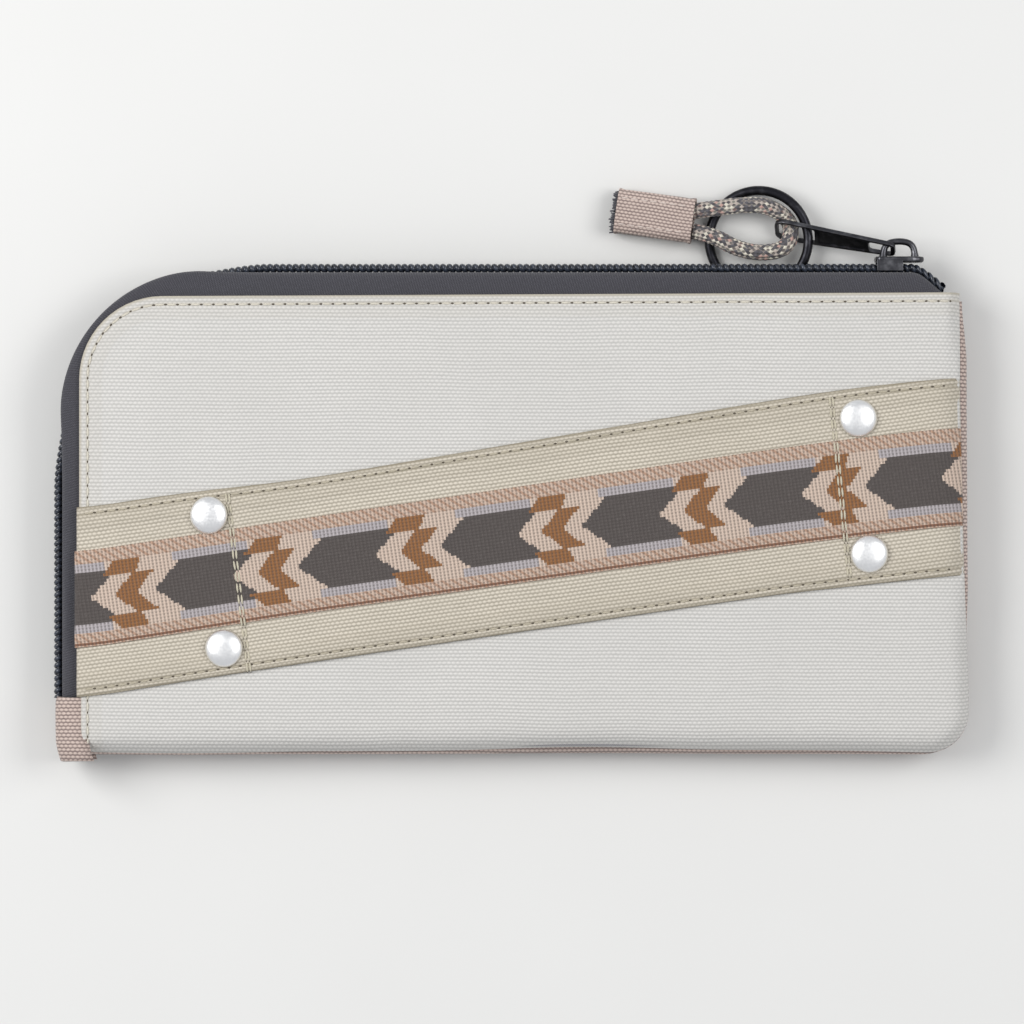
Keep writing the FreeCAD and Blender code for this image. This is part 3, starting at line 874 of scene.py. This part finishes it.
def end_tab_mesh():
    """Folded scrap of canvas round the lower end of the zip."""
    profile = (
        (6.4, 3.4), (3.0, 3.3), (1.0, 3.5), (0.2, 4.1), (-0.25, 5.5), (-0.4, 7.5), (-0.35, 9.5),
        (-0.1, 11.2), (0.35, 12.4), (1.1, 13.2), (2.2, 13.5), (3.8, 13.5), (6.4, 13.3))
    low, high, middle = -54.1, -40.4, 8.8
    bm = bmesh.new()

    def at(y, w):
        inset, z = profile[int(round(w))]
        inset += 0.6 * smooth(-50, low, y) - 0.28 * smooth(0, 1.2, min(y - low, high - y))
        x = LEFT + inset + 0.21 * smooth(-46, -54, y) + 0.6
        return Vector((x, y, middle + (z - middle) * (1 - 0.18 * smooth(-51.5, low, y))))

    cloth_grid(bm, spread(low, high, 0.8), list(range(len(profile))), at)
    return finish_mesh(bm, "zip_end_scrap")


# ---------------------------------------------------------------- strap
def seam_dip(x, y):
    """Dip that a row of stitches across the strap pulls into it."""
    dip = 0.0
    for (x0, y0), (x1, y1) in CROSS_SEAMS:
        t = (y - y0) / (y1 - y0)
        if -0.03 < t < 1.03:
            d = x - (x0 + (x1 - x0) * t)
            dip += math.exp(-((d / 0.6) ** 2))
    return dip


def strap_height(x, y, upper, lower):
    """Strap's outer face: flat over the front, full at its folded edges."""
    e = min(upper - y, y - lower)
    edge = -0.40 * (1 - smooth(0.0, 0.8, e))
    band = 0.22 * (1 - smooth(4.2, 5.4, e))
    groove = -0.22 * math.exp(-(((e - 1.5) / 0.42) ** 2))
    second = -0.10 * math.exp(-(((e - 0.75) / 0.25) ** 2))
    loose = 0.28 * smooth(2, 9, e) * smooth(-57, -30, x) * (1 - smooth(45, 70, x))
    return front_height(x, y) + 0.78 + edge + band + groove + second + loose - 0.22 * seam_dip(x, y)


def strap_mesh():
    columns = spread(-94.5, RIGHT - 0.12, 0.9, fine_end=7.0)
    shares = [i / 100 for i in (
        0, 0.4, 0.9, 1.5, 2.2, 2.9, 3.6, 4.3, 5.2, 6.4, 8, 10, 11.5, 13)]
    rows = shares + [0.13 + 0.74 * i / 30 for i in range(1, 30)] + [1 - s for s in reversed(shares)]
    bm = bmesh.new()

    def at(x, share):
        upper, lower = curve(STRAP_UPPER, x), curve(STRAP_LOWER, x)
        y = lower + (upper - lower) * share
        z = strap_height(x, y, upper, lower)
        end = -0.35 * (1 - smooth(-94.5, -93.3, x))
        point = warped(x, y, z + seam_lift(x, y, z) * 0.9 + end)
        edge[(point.x, point.y)] = min(upper - y, y - lower)
        return point

    edge = {}
    cloth_grid(bm, columns, rows, at)
    mark(bm, "edge", lambda vert: edge.get((vert.co.x, vert.co.y), 9.0))
    return finish_mesh(bm, "strap_canvas")


def ribbon_mesh():
    columns = spread(-94.9, RIGHT - 0.08, 0.8, fine_end=7.0)
    rows = [-10.4, -10.2, -9.8, -9.3] + [-9 + 0.72 * i for i in range(26)] + [9.3, 9.8, 10.2, 10.4]
    bm = bmesh.new()
    tip = -77.6  # X of the point of the first dark arrow

    def at(u, v):
        upper, lower = curve(RIBBON_UPPER, u), curve(RIBBON_LOWER, u)
        y = (upper + lower) / 2 + v / (2 * RIBBON_HALF) * (upper - lower)
        base = strap_height(u, y, curve(STRAP_UPPER, u), curve(STRAP_LOWER, u))
        e = RIBBON_HALF - abs(v)
        lift = 0.32 + 0.12 * smooth(0.0, 0.5, e) - 0.12 * math.exp(-(((e - 0.9) / 0.3) ** 2))
        end = -0.2 * (1 - smooth(-94.9, -94.1, u))
        return warped(u, y, base + seam_lift(u, y, base) * 0.9 + lift + end)

    cloth_grid(bm, columns, rows, at)
    uv = bm.loops.layers.uv.verify()
    for face in bm.faces:
        for loop in face.loops:
            u, v = loop[uv].uv
            loop[uv].uv = ((u - tip) / math.cos(STRAP_SLANT) + v * math.tan(STRAP_SLANT), v)
    return finish_mesh(bm, "ribbon_band")


# ---------------------------------------------------------------- stitching
def walk(points, step):
    """Points and headings every step along a line of (x, y) points."""
    found = []
    left_over = step / 2
    for (x0, y0), (x1, y1) in zip(points, points[1:]):
        length = math.hypot(x1 - x0, y1 - y0)
        if length < 1e-9:
            continue
        d = left_over
        while d < length:
            t = d / length
            found.append((x0 + (x1 - x0) * t, y0 + (y1 - y0) * t, math.atan2(y1 - y0, x1 - x0)))
            d += step
        left_over = d - length
    return found


def thread_bead(bm, matrix):
    """One stitch: a long bead along the matrix's X."""
    along = Matrix.Rotation(math.pi / 2, 4, "Y")
    bmesh.ops.create_uvsphere(bm, u_segments=6, v_segments=5, radius=1, matrix=matrix @ along)


def stitch_row(bm, points, surface, pitch, length, radius, holes, hole=1.0):
    """Threads lying along a line on a surface; holes gets dark spots of painted shade at the needle
    holes between them.
    """
    reach = 0.8
    for n, (x, y, heading) in enumerate(walk(points, pitch)):
        c, d = math.cos(heading), math.sin(heading)
        rise = surface(x + c * reach, y + d * reach) - surface(x - c * reach, y - d * reach)
        turn = heading + 0.10 * noise.noise(Vector((n * 1.7, x * 0.3, y * 0.3)))
        thread_bead(bm, (
            Matrix.Translation(warped(x, y, surface(x, y) + radius * 0.35))
            @ Matrix.Rotation(turn, 4, "Z")
            @ Matrix.Rotation(-math.atan2(rise, 2 * reach), 4, "Y")
            @ Matrix.Diagonal((length / 2, radius, radius * 0.9, 1))))
        # a dark spot of painted shade in the needle hole after each stitch
        hx, hy = x + c * pitch / 2, y + d * pitch / 2
        spot = (
            Matrix.Translation(warped(hx, hy, surface(hx, hy) + 0.02))
            @ Matrix.Rotation(heading, 4, "Z")
            @ Matrix.Diagonal((0.36 * hole, 0.27 * hole, 0.10, 1)))
        bmesh.ops.create_icosphere(holes, subdivisions=1, radius=1, matrix=spot)


def hem_line():
    """The stitch line beside the zip, from the lower left up and along the top."""
    left, r = HEM_LEFT + HEM_SEAM, R_HEM - HEM_SEAM
    cx, cy = HEM_LEFT + R_HEM, hem_top(HEM_LEFT + R_HEM) - R_HEM
    points = [(left, -51.5), (left, cy)]
    for i in range(1, 16):
        a = math.pi / 2 * i / 16
        points.append((cx - r * math.cos(a), cy + r * math.sin(a)))
    return points + [(x, hem_top(x) - HEM_SEAM) for x in (-76, -40, 0, 40, 80, 96.4)]


def on_front(x, y):
    return front_height(x, y) + hem_relief(x, y)


def on_strap(x, y):
    return strap_height(x, y, curve(STRAP_UPPER, x), curve(STRAP_LOWER, x))


def edge_line(rows, inset):
    return [(x, curve(rows, x) + inset) for x in range(-93, 98, 4)]


def over_ribbon(x, y):
    """The strap's outer face, raised where the ribbon lies on it."""
    upper, lower = curve(RIBBON_UPPER, x), curve(RIBBON_LOWER, x)
    ribbon = smooth(lower - 0.2, lower + 0.2, y) * (1 - smooth(upper - 0.2, upper + 0.2, y))
    return on_strap(x, y) + 0.42 * ribbon


def stitches():
    """Hem, strap and cross-seam stitching, with dark spots of painted shade at its needle holes."""
    pitch = sizes().stitch_pitch / MM
    strap_pitch = pitch * 0.95
    hem, hem_holes, band, cross, holes = (bmesh.new() for _ in range(5))
    stitch_row(hem, hem_line(), on_front, pitch, 2.0, 0.24, hem_holes)
    for rows, inset in ((STRAP_UPPER, -STRAP_SEAM), (STRAP_LOWER, STRAP_SEAM)):
        stitch_row(band, edge_line(rows, inset), on_strap, strap_pitch, 1.9, 0.23, holes)
    for (x0, y0), (x1, y1) in CROSS_SEAMS:
        for offset in (-CROSS_OFFSET, CROSS_OFFSET):
            line = [(x0 + offset + (x1 - x0) * t / 20, y0 + (y1 - y0) * t / 20) for t in range(21)]
            stitch_row(cross, line, over_ribbon, strap_pitch, 2.2, 0.24, holes, 0.45)
    for bm, name, look, slot_name, body in (
        (hem, "hem_stitches", "thread", "ivory_canvas", "fold"),
        (hem_holes, "hem_needle_holes", "hole", "ivory_canvas", "fold"),
        (band, "strap_stitches", "strap_thread", "khaki_canvas", "pouch"),
        (cross, "cross_stitches", "cross_thread", "khaki_canvas", "pouch"),
        (holes, "strap_needle_holes", "hole", "khaki_canvas", "pouch"),
    ):
        settle(give(finish_mesh(bm, name), look), body)


# ---------------------------------------------------------------- metal
def cap_mesh(name, x, y):
    """Domed rivet cap with a rolled lip, spun from its profile."""
    profile = (
        (0.02, 1.70), (0.8, 1.69), (1.6, 1.62), (2.3, 1.48), (2.9, 1.27), (3.4, 1.00),
        (3.75, 0.72), (3.98, 0.45), (4.10, 0.22), (4.06, 0.02), (3.90, -0.10), (3.5, -0.12),
        (0.02, -0.12),
    )
    bm = bmesh.new()
    verts = [bm.verts.new((r, 0, z)) for r, z in profile]
    edges = [bm.edges.new(pair) for pair in zip(verts, verts[1:])]
    bmesh.ops.spin(
        bm, geom=verts + edges, cent=(0, 0, 0), axis=(0, 0, 1), angle=2 * math.pi, steps=40,
        use_merge=True, use_duplicate=False)
    bmesh.ops.remove_doubles(bm, verts=bm.verts, dist=0.03)
    bmesh.ops.recalc_face_normals(bm, faces=bm.faces)
    bmesh.ops.translate(bm, verts=bm.verts, vec=(x, y, 16.3))
    return finish_mesh(bm, name)


def plate(bm, outline, thickness, bevel, matrix):
    """A flat plate on an outline of (x, y), with rounded edges, put in place by matrix."""
    verts = [bm.verts.new((x, y, 0)) for x, y in outline]
    face = bm.faces.new(verts)
    made = bmesh.ops.extrude_face_region(bm, geom=[face])
    top = [g for g in made["geom"] if isinstance(g, bmesh.types.BMVert)]
    bmesh.ops.translate(bm, verts=top, vec=(0, 0, thickness))
    verts = verts + top
    faces = {f for v in verts for f in v.link_faces}
    bmesh.ops.recalc_face_normals(bm, faces=list(faces))
    edges = list({e for v in verts for e in v.link_edges})
    if bevel:
        done = bmesh.ops.bevel(
            bm, geom=edges, offset=bevel, offset_type="OFFSET", segments=3, profile=0.5,
            affect="EDGES", clamp_overlap=True, material=-1)
        verts = list({v for f in done["faces"] for v in f.verts} | {v for v in verts if v.is_valid})
    bmesh.ops.transform(bm, matrix=matrix, verts=verts)


def slider_mesh():
    """Two shield-shaped plates with rolled flanges that grip the teeth."""
    bm = bmesh.new()
    x0, x1, waist = SLIDER_X - 5.3, SLIDER_X + 5.3, SLIDER_X + 0.5
    # plates are drawn in (x, z) and stood up to face +Y
    stand = Matrix(((1, 0, 0, 0), (0, 0, 1, 0), (0, -1, 0, 0), (0, 0, 0, 1)))
    for y, front, tail in ((54.55, 3.8, 3.5), (50.35, 3.5, 3.2)):
        half = [
            (x1, front - 1.8), (x1 - 0.8, front - 0.7), (x1 - 2.5, front), (waist, tail),
            (x0 + 0.8, tail), (x0, tail - 0.8)]
        outline = [(x, -z) for x, z in reversed(half)] + half
        plate(bm, outline, 1.2, 0.38, Matrix.Translation((0, y, ZIP_Z)) @ stand)
    for z in (-3.2, 3.2):
        left, right = x0 + 0.3, waist + 0.2
        outline = [(left, z - 0.3), (right, z - 0.3), (right, z + 0.3), (left, z + 0.3)]
        plate(bm, outline, 2.5, 0.12, Matrix.Translation((0, 52.6, ZIP_Z)) @ stand)
    return finish_mesh(bm, "slider_shell")


def bridge_mesh():
    """Low round-wire arch on the slider, wider at its feet."""
    path = [Vector((x, y, ZIP_Z)) for x, y in (
        (81.35, 55.35), (81.4, 56.6), (81.75, 57.9), (82.6, 58.75), (84.0, 59.1),
        (85.6, 59.1), (87.0, 58.75), (87.85, 57.9), (88.2, 56.6), (88.25, 55.35))]
    bm = bmesh.new()
    ts = [i / 4 for i in range(4 * (len(path) - 1) + 1)]
    angles = [2 * math.pi * i / 12 for i in range(13)]

    def point(t):
        i = min(int(t), len(path) - 2)
        p0, p1 = path[max(i - 1, 0)], path[i]
        p2, p3 = path[i + 1], path[min(i + 2, len(path) - 1)]
        u = t - i
        return 0.5 * (2 * p1 + (p2 - p0) * u + (2 * p0 - 5 * p1 + 4 * p2 - p3) * u * u
                      + (3 * p1 - p0 - 3 * p2 + p3) * u ** 3)

    def at(t, a):
        here = point(t)
        heading = (point(min(t + 0.05, ts[-1])) - point(max(t - 0.05, 0))).normalized()
        side = Vector((0, 0, 1))
        out = heading.cross(side)
        flare = 1 + 0.35 * (1 - smooth(0, 1.3, min(t, ts[-1] - t)))
        return here + (side * math.cos(a) * 0.75 + out * math.sin(a) * 0.72) * flare

    cloth_grid(bm, ts, angles, at, closed=True)
    close_tube(bm)
    return finish_mesh(bm, "slider_arch")


def cut(obj, cutters):
    """Cut the plates in cutters out of obj and apply the result."""
    for cutter in cutters:
        tool = obj.modifiers.new("cut", "BOOLEAN")
        tool.operation = "DIFFERENCE"
        tool.solver = "EXACT"
        tool.object = cutter
    graph = bpy.context.evaluated_depsgraph_get()
    mesh = bpy.data.meshes.new_from_object(obj.evaluated_get(graph))
    obj.modifiers.clear()
    obj.data = mesh
    mesh.name = obj.name
    for cutter in cutters:
        bpy.data.objects.remove(cutter)
    return obj


def tab_mesh():
    """Pull tab: a tapered plate with a raised rim, an eye for the arch and a slot."""
    along = TAB_DIRECTION
    up = (Vector((0, 0, 1)) - along * along.z).normalized()
    side = along.cross(up)
    if side.y < 0:
        side = -side
    twist = math.radians(TAB_TWIST)
    across = up * math.cos(twist) + side * math.sin(twist)
    face = along.cross(across)
    lay = Matrix.Translation(TAB_PIVOT) @ Matrix((along, across, face)).transposed().to_4x4()

    def tapered(start, end, half_start, half_end, round_start, round_end):
        """Outline that widens along the tab, with rounded corners."""
        turns = [math.pi / 2 * i / 5 for i in range(6)]

        def corner(x, half, r):
            return [(x + r * (1 - math.sin(t)), half - abs(r) * 0.8 * (1 - math.cos(t)))
                    for t in turns]

        upper = corner(start, half_start, round_start)[::-1] + corner(end, half_end, -round_end)
        return upper + [(x, -y) for x, y in reversed(upper)]

    def slab(name, outline, low, high, bevel):
        bm = bmesh.new()
        plate(bm, outline, high - low, bevel, lay @ Matrix.Translation((0, 0, low)))
        return finish_mesh(bm, name)

    tab = slab("tab_plate", tapered(-0.55, 26.6, 2.15, 3.4, 1.5, 2.4), -0.5, 0.5, 0.2)
    cutters = [
        slab("eye", tapered(0.38, 5.4, 1.60, 1.72, 0.7, 0.9), -2, 2, 0),
        slab("slot", tapered(17.5, 25.85, 2.55, 2.7, 0.8, 1.2), -2, 2, 0),
        slab("upper face", tapered(6.2, 16.7, 1.75, 2.2, 0.5, 0.5), 0.27, 2, 0),
        slab("lower face", tapered(6.2, 16.7, 1.75, 2.2, 0.5, 0.5), -2, -0.27, 0),
    ]
    return cut(tab, cutters)


def ring_mesh():
    """Round wire ring through the tab's slot."""
    bm = bmesh.new()
    made = bmesh.ops.create_circle(bm, segments=16, radius=WIRE_R, cap_ends=False)
    stand = Matrix.Translation((RING_R, 0, 0)) @ Matrix.Rotation(math.pi / 2, 4, "X")
    bmesh.ops.transform(bm, matrix=stand, verts=made["verts"])
    bmesh.ops.spin(
        bm, geom=list(bm.verts) + list(bm.edges), cent=(0, 0, 0), axis=(0, 0, 1), angle=2 * math.pi,
        steps=96, use_merge=True, use_duplicate=False)
    bmesh.ops.remove_doubles(bm, verts=bm.verts, dist=0.001)
    bmesh.ops.recalc_face_normals(bm, faces=bm.faces)
    tilt = Vector((0, 0, 1)).rotation_difference(RING_TILT).to_matrix().to_4x4()
    bmesh.ops.transform(bm, matrix=Matrix.Translation(RING_CENTRE) @ tilt, verts=bm.verts)
    return finish_mesh(bm, "wire_ring")


# ---------------------------------------------------------------- cord and sleeve
def cord_line():
    """The cord's own smooth line, as close points in metres."""
    data = bpy.data.curves.new("cord line", "CURVE")
    data.dimensions = "3D"
    spline = data.splines.new("NURBS")
    spline.points.add(len(CORD_ROUTE) - 1)
    for point, place in zip(spline.points, CORD_ROUTE):
        point.co = (*(c * MM for c in place), 1)
    spline.order_u = 3
    spline.use_endpoint_u = True
    spline.resolution_u = 32
    holder = bpy.data.objects.new("cord line", data)
    bpy.context.scene.collection.objects.link(holder)
    bpy.context.view_layer.update()
    mesh = bpy.data.meshes.new_from_object(holder)
    points = [v.co.copy() for v in mesh.vertices]
    bpy.data.objects.remove(holder)
    bpy.data.meshes.remove(mesh)
    bpy.data.curves.remove(data)
    return points


def braid_cord_mesh():
    """Cord with its braid strands raised on the surface. Returns the object and its line."""
    line = cord_line()
    points = [p / MM for p in line]
    distance = [0.0]
    for a, b in zip(points, points[1:]):
        distance.append(distance[-1] + (b - a).length)
    total = distance[-1]

    def along(s):
        s = min(max(s, 0.0), total)
        i = next(k for k in range(len(points) - 1) if distance[k + 1] >= s - 1e-9)
        span = max(distance[i + 1] - distance[i], 1e-9)
        return points[i].lerp(points[i + 1], (s - distance[i]) / span)

    stations = spread(0.0, total, 0.3)
    frames = {}
    side = Vector((0, 0, 1))
    for s in stations:
        heading = (along(s + 0.2) - along(s - 0.2)).normalized()
        side = (side - heading * side.dot(heading)).normalized()
        frames[s] = (along(s), side.copy(), heading.cross(side))
    around = [i / 36 for i in range(37)]
    bm = bmesh.new()

    def at(s, v):
        here, a, b = frames[s]
        one, two = 6 * v + s / 2.1, 6 * v - s / 2.1
        weave = math.sin(2 * math.pi * one) * math.sin(2 * math.pi * two)
        r = CORD_R - 0.12 + 0.12 * weave
        angle = 2 * math.pi * v
        return here + (a * math.cos(angle) + b * math.sin(angle)) * r

    cloth_grid(bm, stations, around, at, closed=True)
    close_tube(bm)
    return finish_mesh(bm, "braided_cord"), line


def sleeve_frame():
    side = Vector((0, 0, 1)).cross(WRAP_DIRECTION).normalized()
    up = WRAP_DIRECTION.cross(side)
    mouth = (Vector(CORD_ROUTE[0]) + Vector(CORD_ROUTE[-1])) / 2
    return mouth, side, up


def sleeve_point(s, a):
    """Outer face of the sleeve: rounded at the sides and slack between the two cords."""
    mouth, side, up = sleeve_frame()
    c, d = math.cos(a), math.sin(a)
    power = 0.62
    w = WRAP_HALF_WIDTH * math.copysign(abs(c) ** power, c)
    h = WRAP_HALF_HEIGHT * math.copysign(abs(d) ** power, d)
    middle = smooth(0.5, 4, s) * (1 - smooth(WRAP_LENGTH - 4, WRAP_LENGTH, s))
    slack = 0.30 * math.exp(-((w / 1.7) ** 2)) * middle
    h -= math.copysign(slack, h) if abs(h) > 1 else 0
    ends = min(s, WRAP_LENGTH - s)
    lip = 0.10 * (1 - smooth(0.3, 1.1, ends)) - 0.05 * math.exp(-(((ends - 1.5) / 0.4) ** 2))
    w *= 1 + lip * 0.3
    return mouth + WRAP_DIRECTION * s + side * w + up * (h * (1 + lip * 0.5))


def sleeve_mesh():
    bm = bmesh.new()
    stations = [0, 0.15, 0.4, 0.8, 1.2, 1.5, 1.9] + [2.4 + 0.6 * i for i in range(21)] + [
        15.1, 15.5, 15.9, 16.3, 16.7, 17.0]
    around = [2 * math.pi * i / 48 for i in range(49)]
    cloth_grid(bm, stations, around, sleeve_point, closed=True)
    bmesh.ops.recalc_face_normals(bm, faces=bm.faces)
    return finish_mesh(bm, "cord_sleeve")


def sleeve_details():
    """Two rows of stitches on the sleeve, and the frayed cord ends at its open end."""
    mouth, side, up = sleeve_frame()
    turn = Matrix((WRAP_DIRECTION, side, up)).transposed().to_4x4()
    rows, fray = bmesh.new(), bmesh.new()
    for offset in (-2.9, 2.9):
        for i in range(7):
            base = (mouth + WRAP_DIRECTION * (2.8 + i * 2.1) + side * offset
                    + up * (WRAP_HALF_HEIGHT * 0.93))
            bead = Matrix.Diagonal((0.85, 0.2, 0.2, 1))
            thread_bead(rows, Matrix.Translation(base) @ turn @ bead)
    for n in range(64):
        wobble = [noise.noise(Vector((n * 3.3, k * 7.1, 0.5))) for k in range(4)]
        lobe = -2.2 if n % 2 else 2.2
        base = (mouth + WRAP_DIRECTION * (WRAP_LENGTH - 0.9)
                + side * (lobe + 3.4 * wobble[0]) + up * (2.6 * wobble[1]))
        heading = (WRAP_DIRECTION + side * wobble[2] * 0.9 + up * wobble[3] * 0.9).normalized()
        lean_over = Vector((0, 0, 1)).rotation_difference(heading).to_matrix().to_4x4()
        reach = 1.7 + 1.4 * abs(wobble[3])
        bmesh.ops.create_cone(
            fray, cap_ends=True, segments=5, radius1=0.34, radius2=0.16, depth=reach,
            matrix=Matrix.Translation(base + heading * reach / 2) @ lean_over)
    return finish_mesh(rows, "sleeve_stitches"), finish_mesh(fray, "frayed_ends")


# ---------------------------------------------------------------- operators
class POUCH_OT_stage(bpy.types.Operator):
    """Make the pale floor, the soft studio light and the camera"""

    bl_idname = "pouch.stage"
    bl_label = "Stage"

    def execute(self, context):
        bm = bmesh.new()
        bmesh.ops.create_grid(bm, x_segments=2, y_segments=2, size=FLOOR_SIZE)
        bmesh.ops.translate(bm, verts=bm.verts, vec=(0, 0, FLOOR_Z))
        floor = finish_mesh(bm, "floor")
        f = Finish("pale floor", roughness=0.9)
        f.place()
        paper = f.noise(0.02, 2.0)
        f.colour(f.mix(paper, (0.62, 0.615, 0.595), (0.64, 0.635, 0.615)))
        floor.data.materials.append(f.material)
        world = bpy.data.worlds.new("studio")
        world.use_nodes = True
        sky = world.node_tree.nodes["Background"]
        sky.inputs["Color"].default_value = (0.93, 0.95, 1.0, 1)
        sky.inputs["Strength"].default_value = WORLD_LIGHT
        context.scene.world = world
        context.scene.view_settings.view_transform = "Standard"
        for name, place, width, power in (
            ("softbox over left", (-0.60, 0.22, 0.66), 0.50, 1.0),
            ("softbox over right", (0.62, 0.16, 0.72), 0.50, 0.64),
        ):
            lamp = bpy.data.lights.new(name, "AREA")
            lamp.shape = "SQUARE"
            lamp.size = width
            lamp.energy = sizes().lamp_power * power
            holder = bpy.data.objects.new(name, lamp)
            holder.location = place
            holder.rotation_euler = (-Vector(place)).to_track_quat("-Z", "Y").to_euler()
            context.scene.collection.objects.link(holder)
        lens = bpy.data.cameras.new("camera")
        lens.sensor_width = 36
        lens.lens = lens.sensor_width * (CAMERA_HEIGHT - VIEW_LEVEL) / VIEW_WIDTH
        lens.clip_end = 20
        camera = bpy.data.objects.new("camera", lens)
        camera.location = (0.0002, 0.0, CAMERA_HEIGHT)
        context.scene.collection.objects.link(camera)
        context.scene.camera = camera
        return {"FINISHED"}


class POUCH_OT_panels(bpy.types.Operator):
    """Make the front and back canvas"""

    bl_idname = "pouch.panels"
    bl_label = "Canvas Panels"

    def execute(self, context):
        thickness = sizes().canvas_thickness / MM
        front = thicken(give(front_panel_mesh(), "front"), thickness)
        settle(front, "fold", "front_panel", "front_panel_corner")
        back = thicken(give(back_panel_mesh(), "back"), thickness)
        settle(back, "pouch", "back_panel")
        return {"FINISHED"}


class POUCH_OT_linings(bpy.types.Operator):
    """Make the thin linings inside both panels"""

    bl_idname = "pouch.linings"
    bl_label = "Linings"

    def execute(self, context):
        for front, body, nodes in (
            (True, "fold", ("front_lining", "front_lining_corner")),
            (False, "pouch", ("back_lining",)),
        ):
            lining = thicken(give(lining_mesh(front), "lining"), LINING, 0.0)
            settle(lining, body, *nodes)
        return {"FINISHED"}


class POUCH_OT_zip(bpy.types.Operator):
    """Make both zip tapes, both rows of coil teeth and the scrap over the zip's end"""

    bl_idname = "pouch.zip"
    bl_label = "Zip"

    def execute(self, context):
        for front, body, ends in (
            (True, "fold", ("front", "front_corner")),
            (False, "pouch", ("back",)),
        ):
            tape = thicken(give(tape_mesh(front), "tape"), TAPE)
            settle(tape, body, *("zip_tape_" + end for end in ends))
            coil = give(coil_mesh(front), "coil")
            settle(coil, body, *("zip_coil_" + end for end in ends))
        scrap = thicken(give(end_tab_mesh(), "back"), SCRAP)
        settle(scrap, "pouch", "zip_end_tab")
        return {"FINISHED"}


class POUCH_OT_strap(bpy.types.Operator):
    """Make the strap, its ribbon and all stitching"""

    bl_idname = "pouch.strap"
    bl_label = "Strap and Stitching"

    def execute(self, context):
        strap = thicken(give(strap_mesh(), "strap"), STRAP)
        settle(strap, "pouch", "strap_base")
        ribbon = thicken(give(ribbon_mesh(), "ribbon"), RIBBON)
        settle(ribbon, "pouch", "strap_ribbon")
        stitches()
        return {"FINISHED"}


class POUCH_OT_rivets(bpy.types.Operator):
    """Make the four rivet caps and finish their posts"""

    bl_idname = "pouch.rivets"
    bl_label = "Rivets"

    def execute(self, context):
        for place, (x, y) in RIVETS.items():
            cap = give(cap_mesh("cap_" + place, x, y), "nickel")
            settle(cap, "pouch", "rivet_cap_" + place)
            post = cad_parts["rivet_post_" + place]
            post.data.materials.clear()
            post.data.materials.append(FINISHES["nickel"])
        return {"FINISHED"}


class POUCH_OT_slider(bpy.types.Operator):
    """Make the slider, its arch and the pull tab"""

    bl_idname = "pouch.slider"
    bl_label = "Slider and Tab"

    def execute(self, context):
        for make, node, body in (
            (slider_mesh, "slider_body", "slider"),
            (bridge_mesh, "slider_bridge", "slider"),
            (tab_mesh, "pull_tab", "tab"),
        ):
            piece = give(make(), "gunmetal")
            piece.data.shade_smooth()
            piece.data.set_sharp_from_angle(angle=math.radians(38))
            edges = piece.modifiers.new("clean edges", "WEIGHTED_NORMAL")
            edges.keep_sharp = True
            settle(piece, body, node)
        return {"FINISHED"}


class POUCH_OT_pull(bpy.types.Operator):
    """Make the ring, the braided cord and its canvas sleeve"""

    bl_idname = "pouch.pull"
    bl_label = "Ring and Cord"

    def execute(self, context):
        settle(give(ring_mesh(), "black"), "ring", "pull_ring")
        cord, line = braid_cord_mesh()
        settle(give(cord, "cord"), "cord", "pull_cord")
        sleeve = thicken(give(sleeve_mesh(), "sleeve"), SLEEVE)
        settle(sleeve, "cord", "cord_wrap")
        rows, fray = sleeve_details()
        settle(give(rows, "mauve_thread"), "cord")
        settle(give(fray, "fray"), "cord")
        tuple(line[0])
        [tuple(p) for p in line]
        return {"FINISHED"}


class POUCH_PT_sidebar(bpy.types.Panel):
    """The pouch's steps, sizes and colours"""

    bl_idname = "POUCH_PT_sidebar"
    bl_label = "Canvas Pouch"
    bl_space_type = "VIEW_3D"
    bl_region_type = "UI"
    bl_category = "Pouch"

    def draw(self, context):
        for step in STEPS:
            self.layout.operator(step.bl_idname)
        for group in (context.scene.pouch_sizes, context.scene.pouch_colours):
            box = self.layout.box()
            for name in group.__annotations__:
                box.prop(group, name)


STEPS = (
    POUCH_OT_stage,
    POUCH_OT_pull,
    POUCH_OT_panels,
    POUCH_OT_linings,
    POUCH_OT_zip,
    POUCH_OT_strap,
    POUCH_OT_rivets,
    POUCH_OT_slider,
)
CLASSES = (POUCH_PG_sizes, POUCH_PG_colours, *STEPS, POUCH_PT_sidebar)


def register():
    for cls in CLASSES:
        bpy.utils.register_class(cls)
    bpy.types.Scene.pouch_sizes = PointerProperty(type=POUCH_PG_sizes)
    bpy.types.Scene.pouch_colours = PointerProperty(type=POUCH_PG_colours)


def unregister():
    del bpy.types.Scene.pouch_colours
    del bpy.types.Scene.pouch_sizes
    for cls in reversed(CLASSES):
        bpy.utils.unregister_class(cls)


def main():
    register()
    make_finishes()
    for step in STEPS:
        group, name = step.bl_idname.split(".")
        getattr(getattr(bpy.ops, group), name)()


if __name__ == "__main__":
    main()
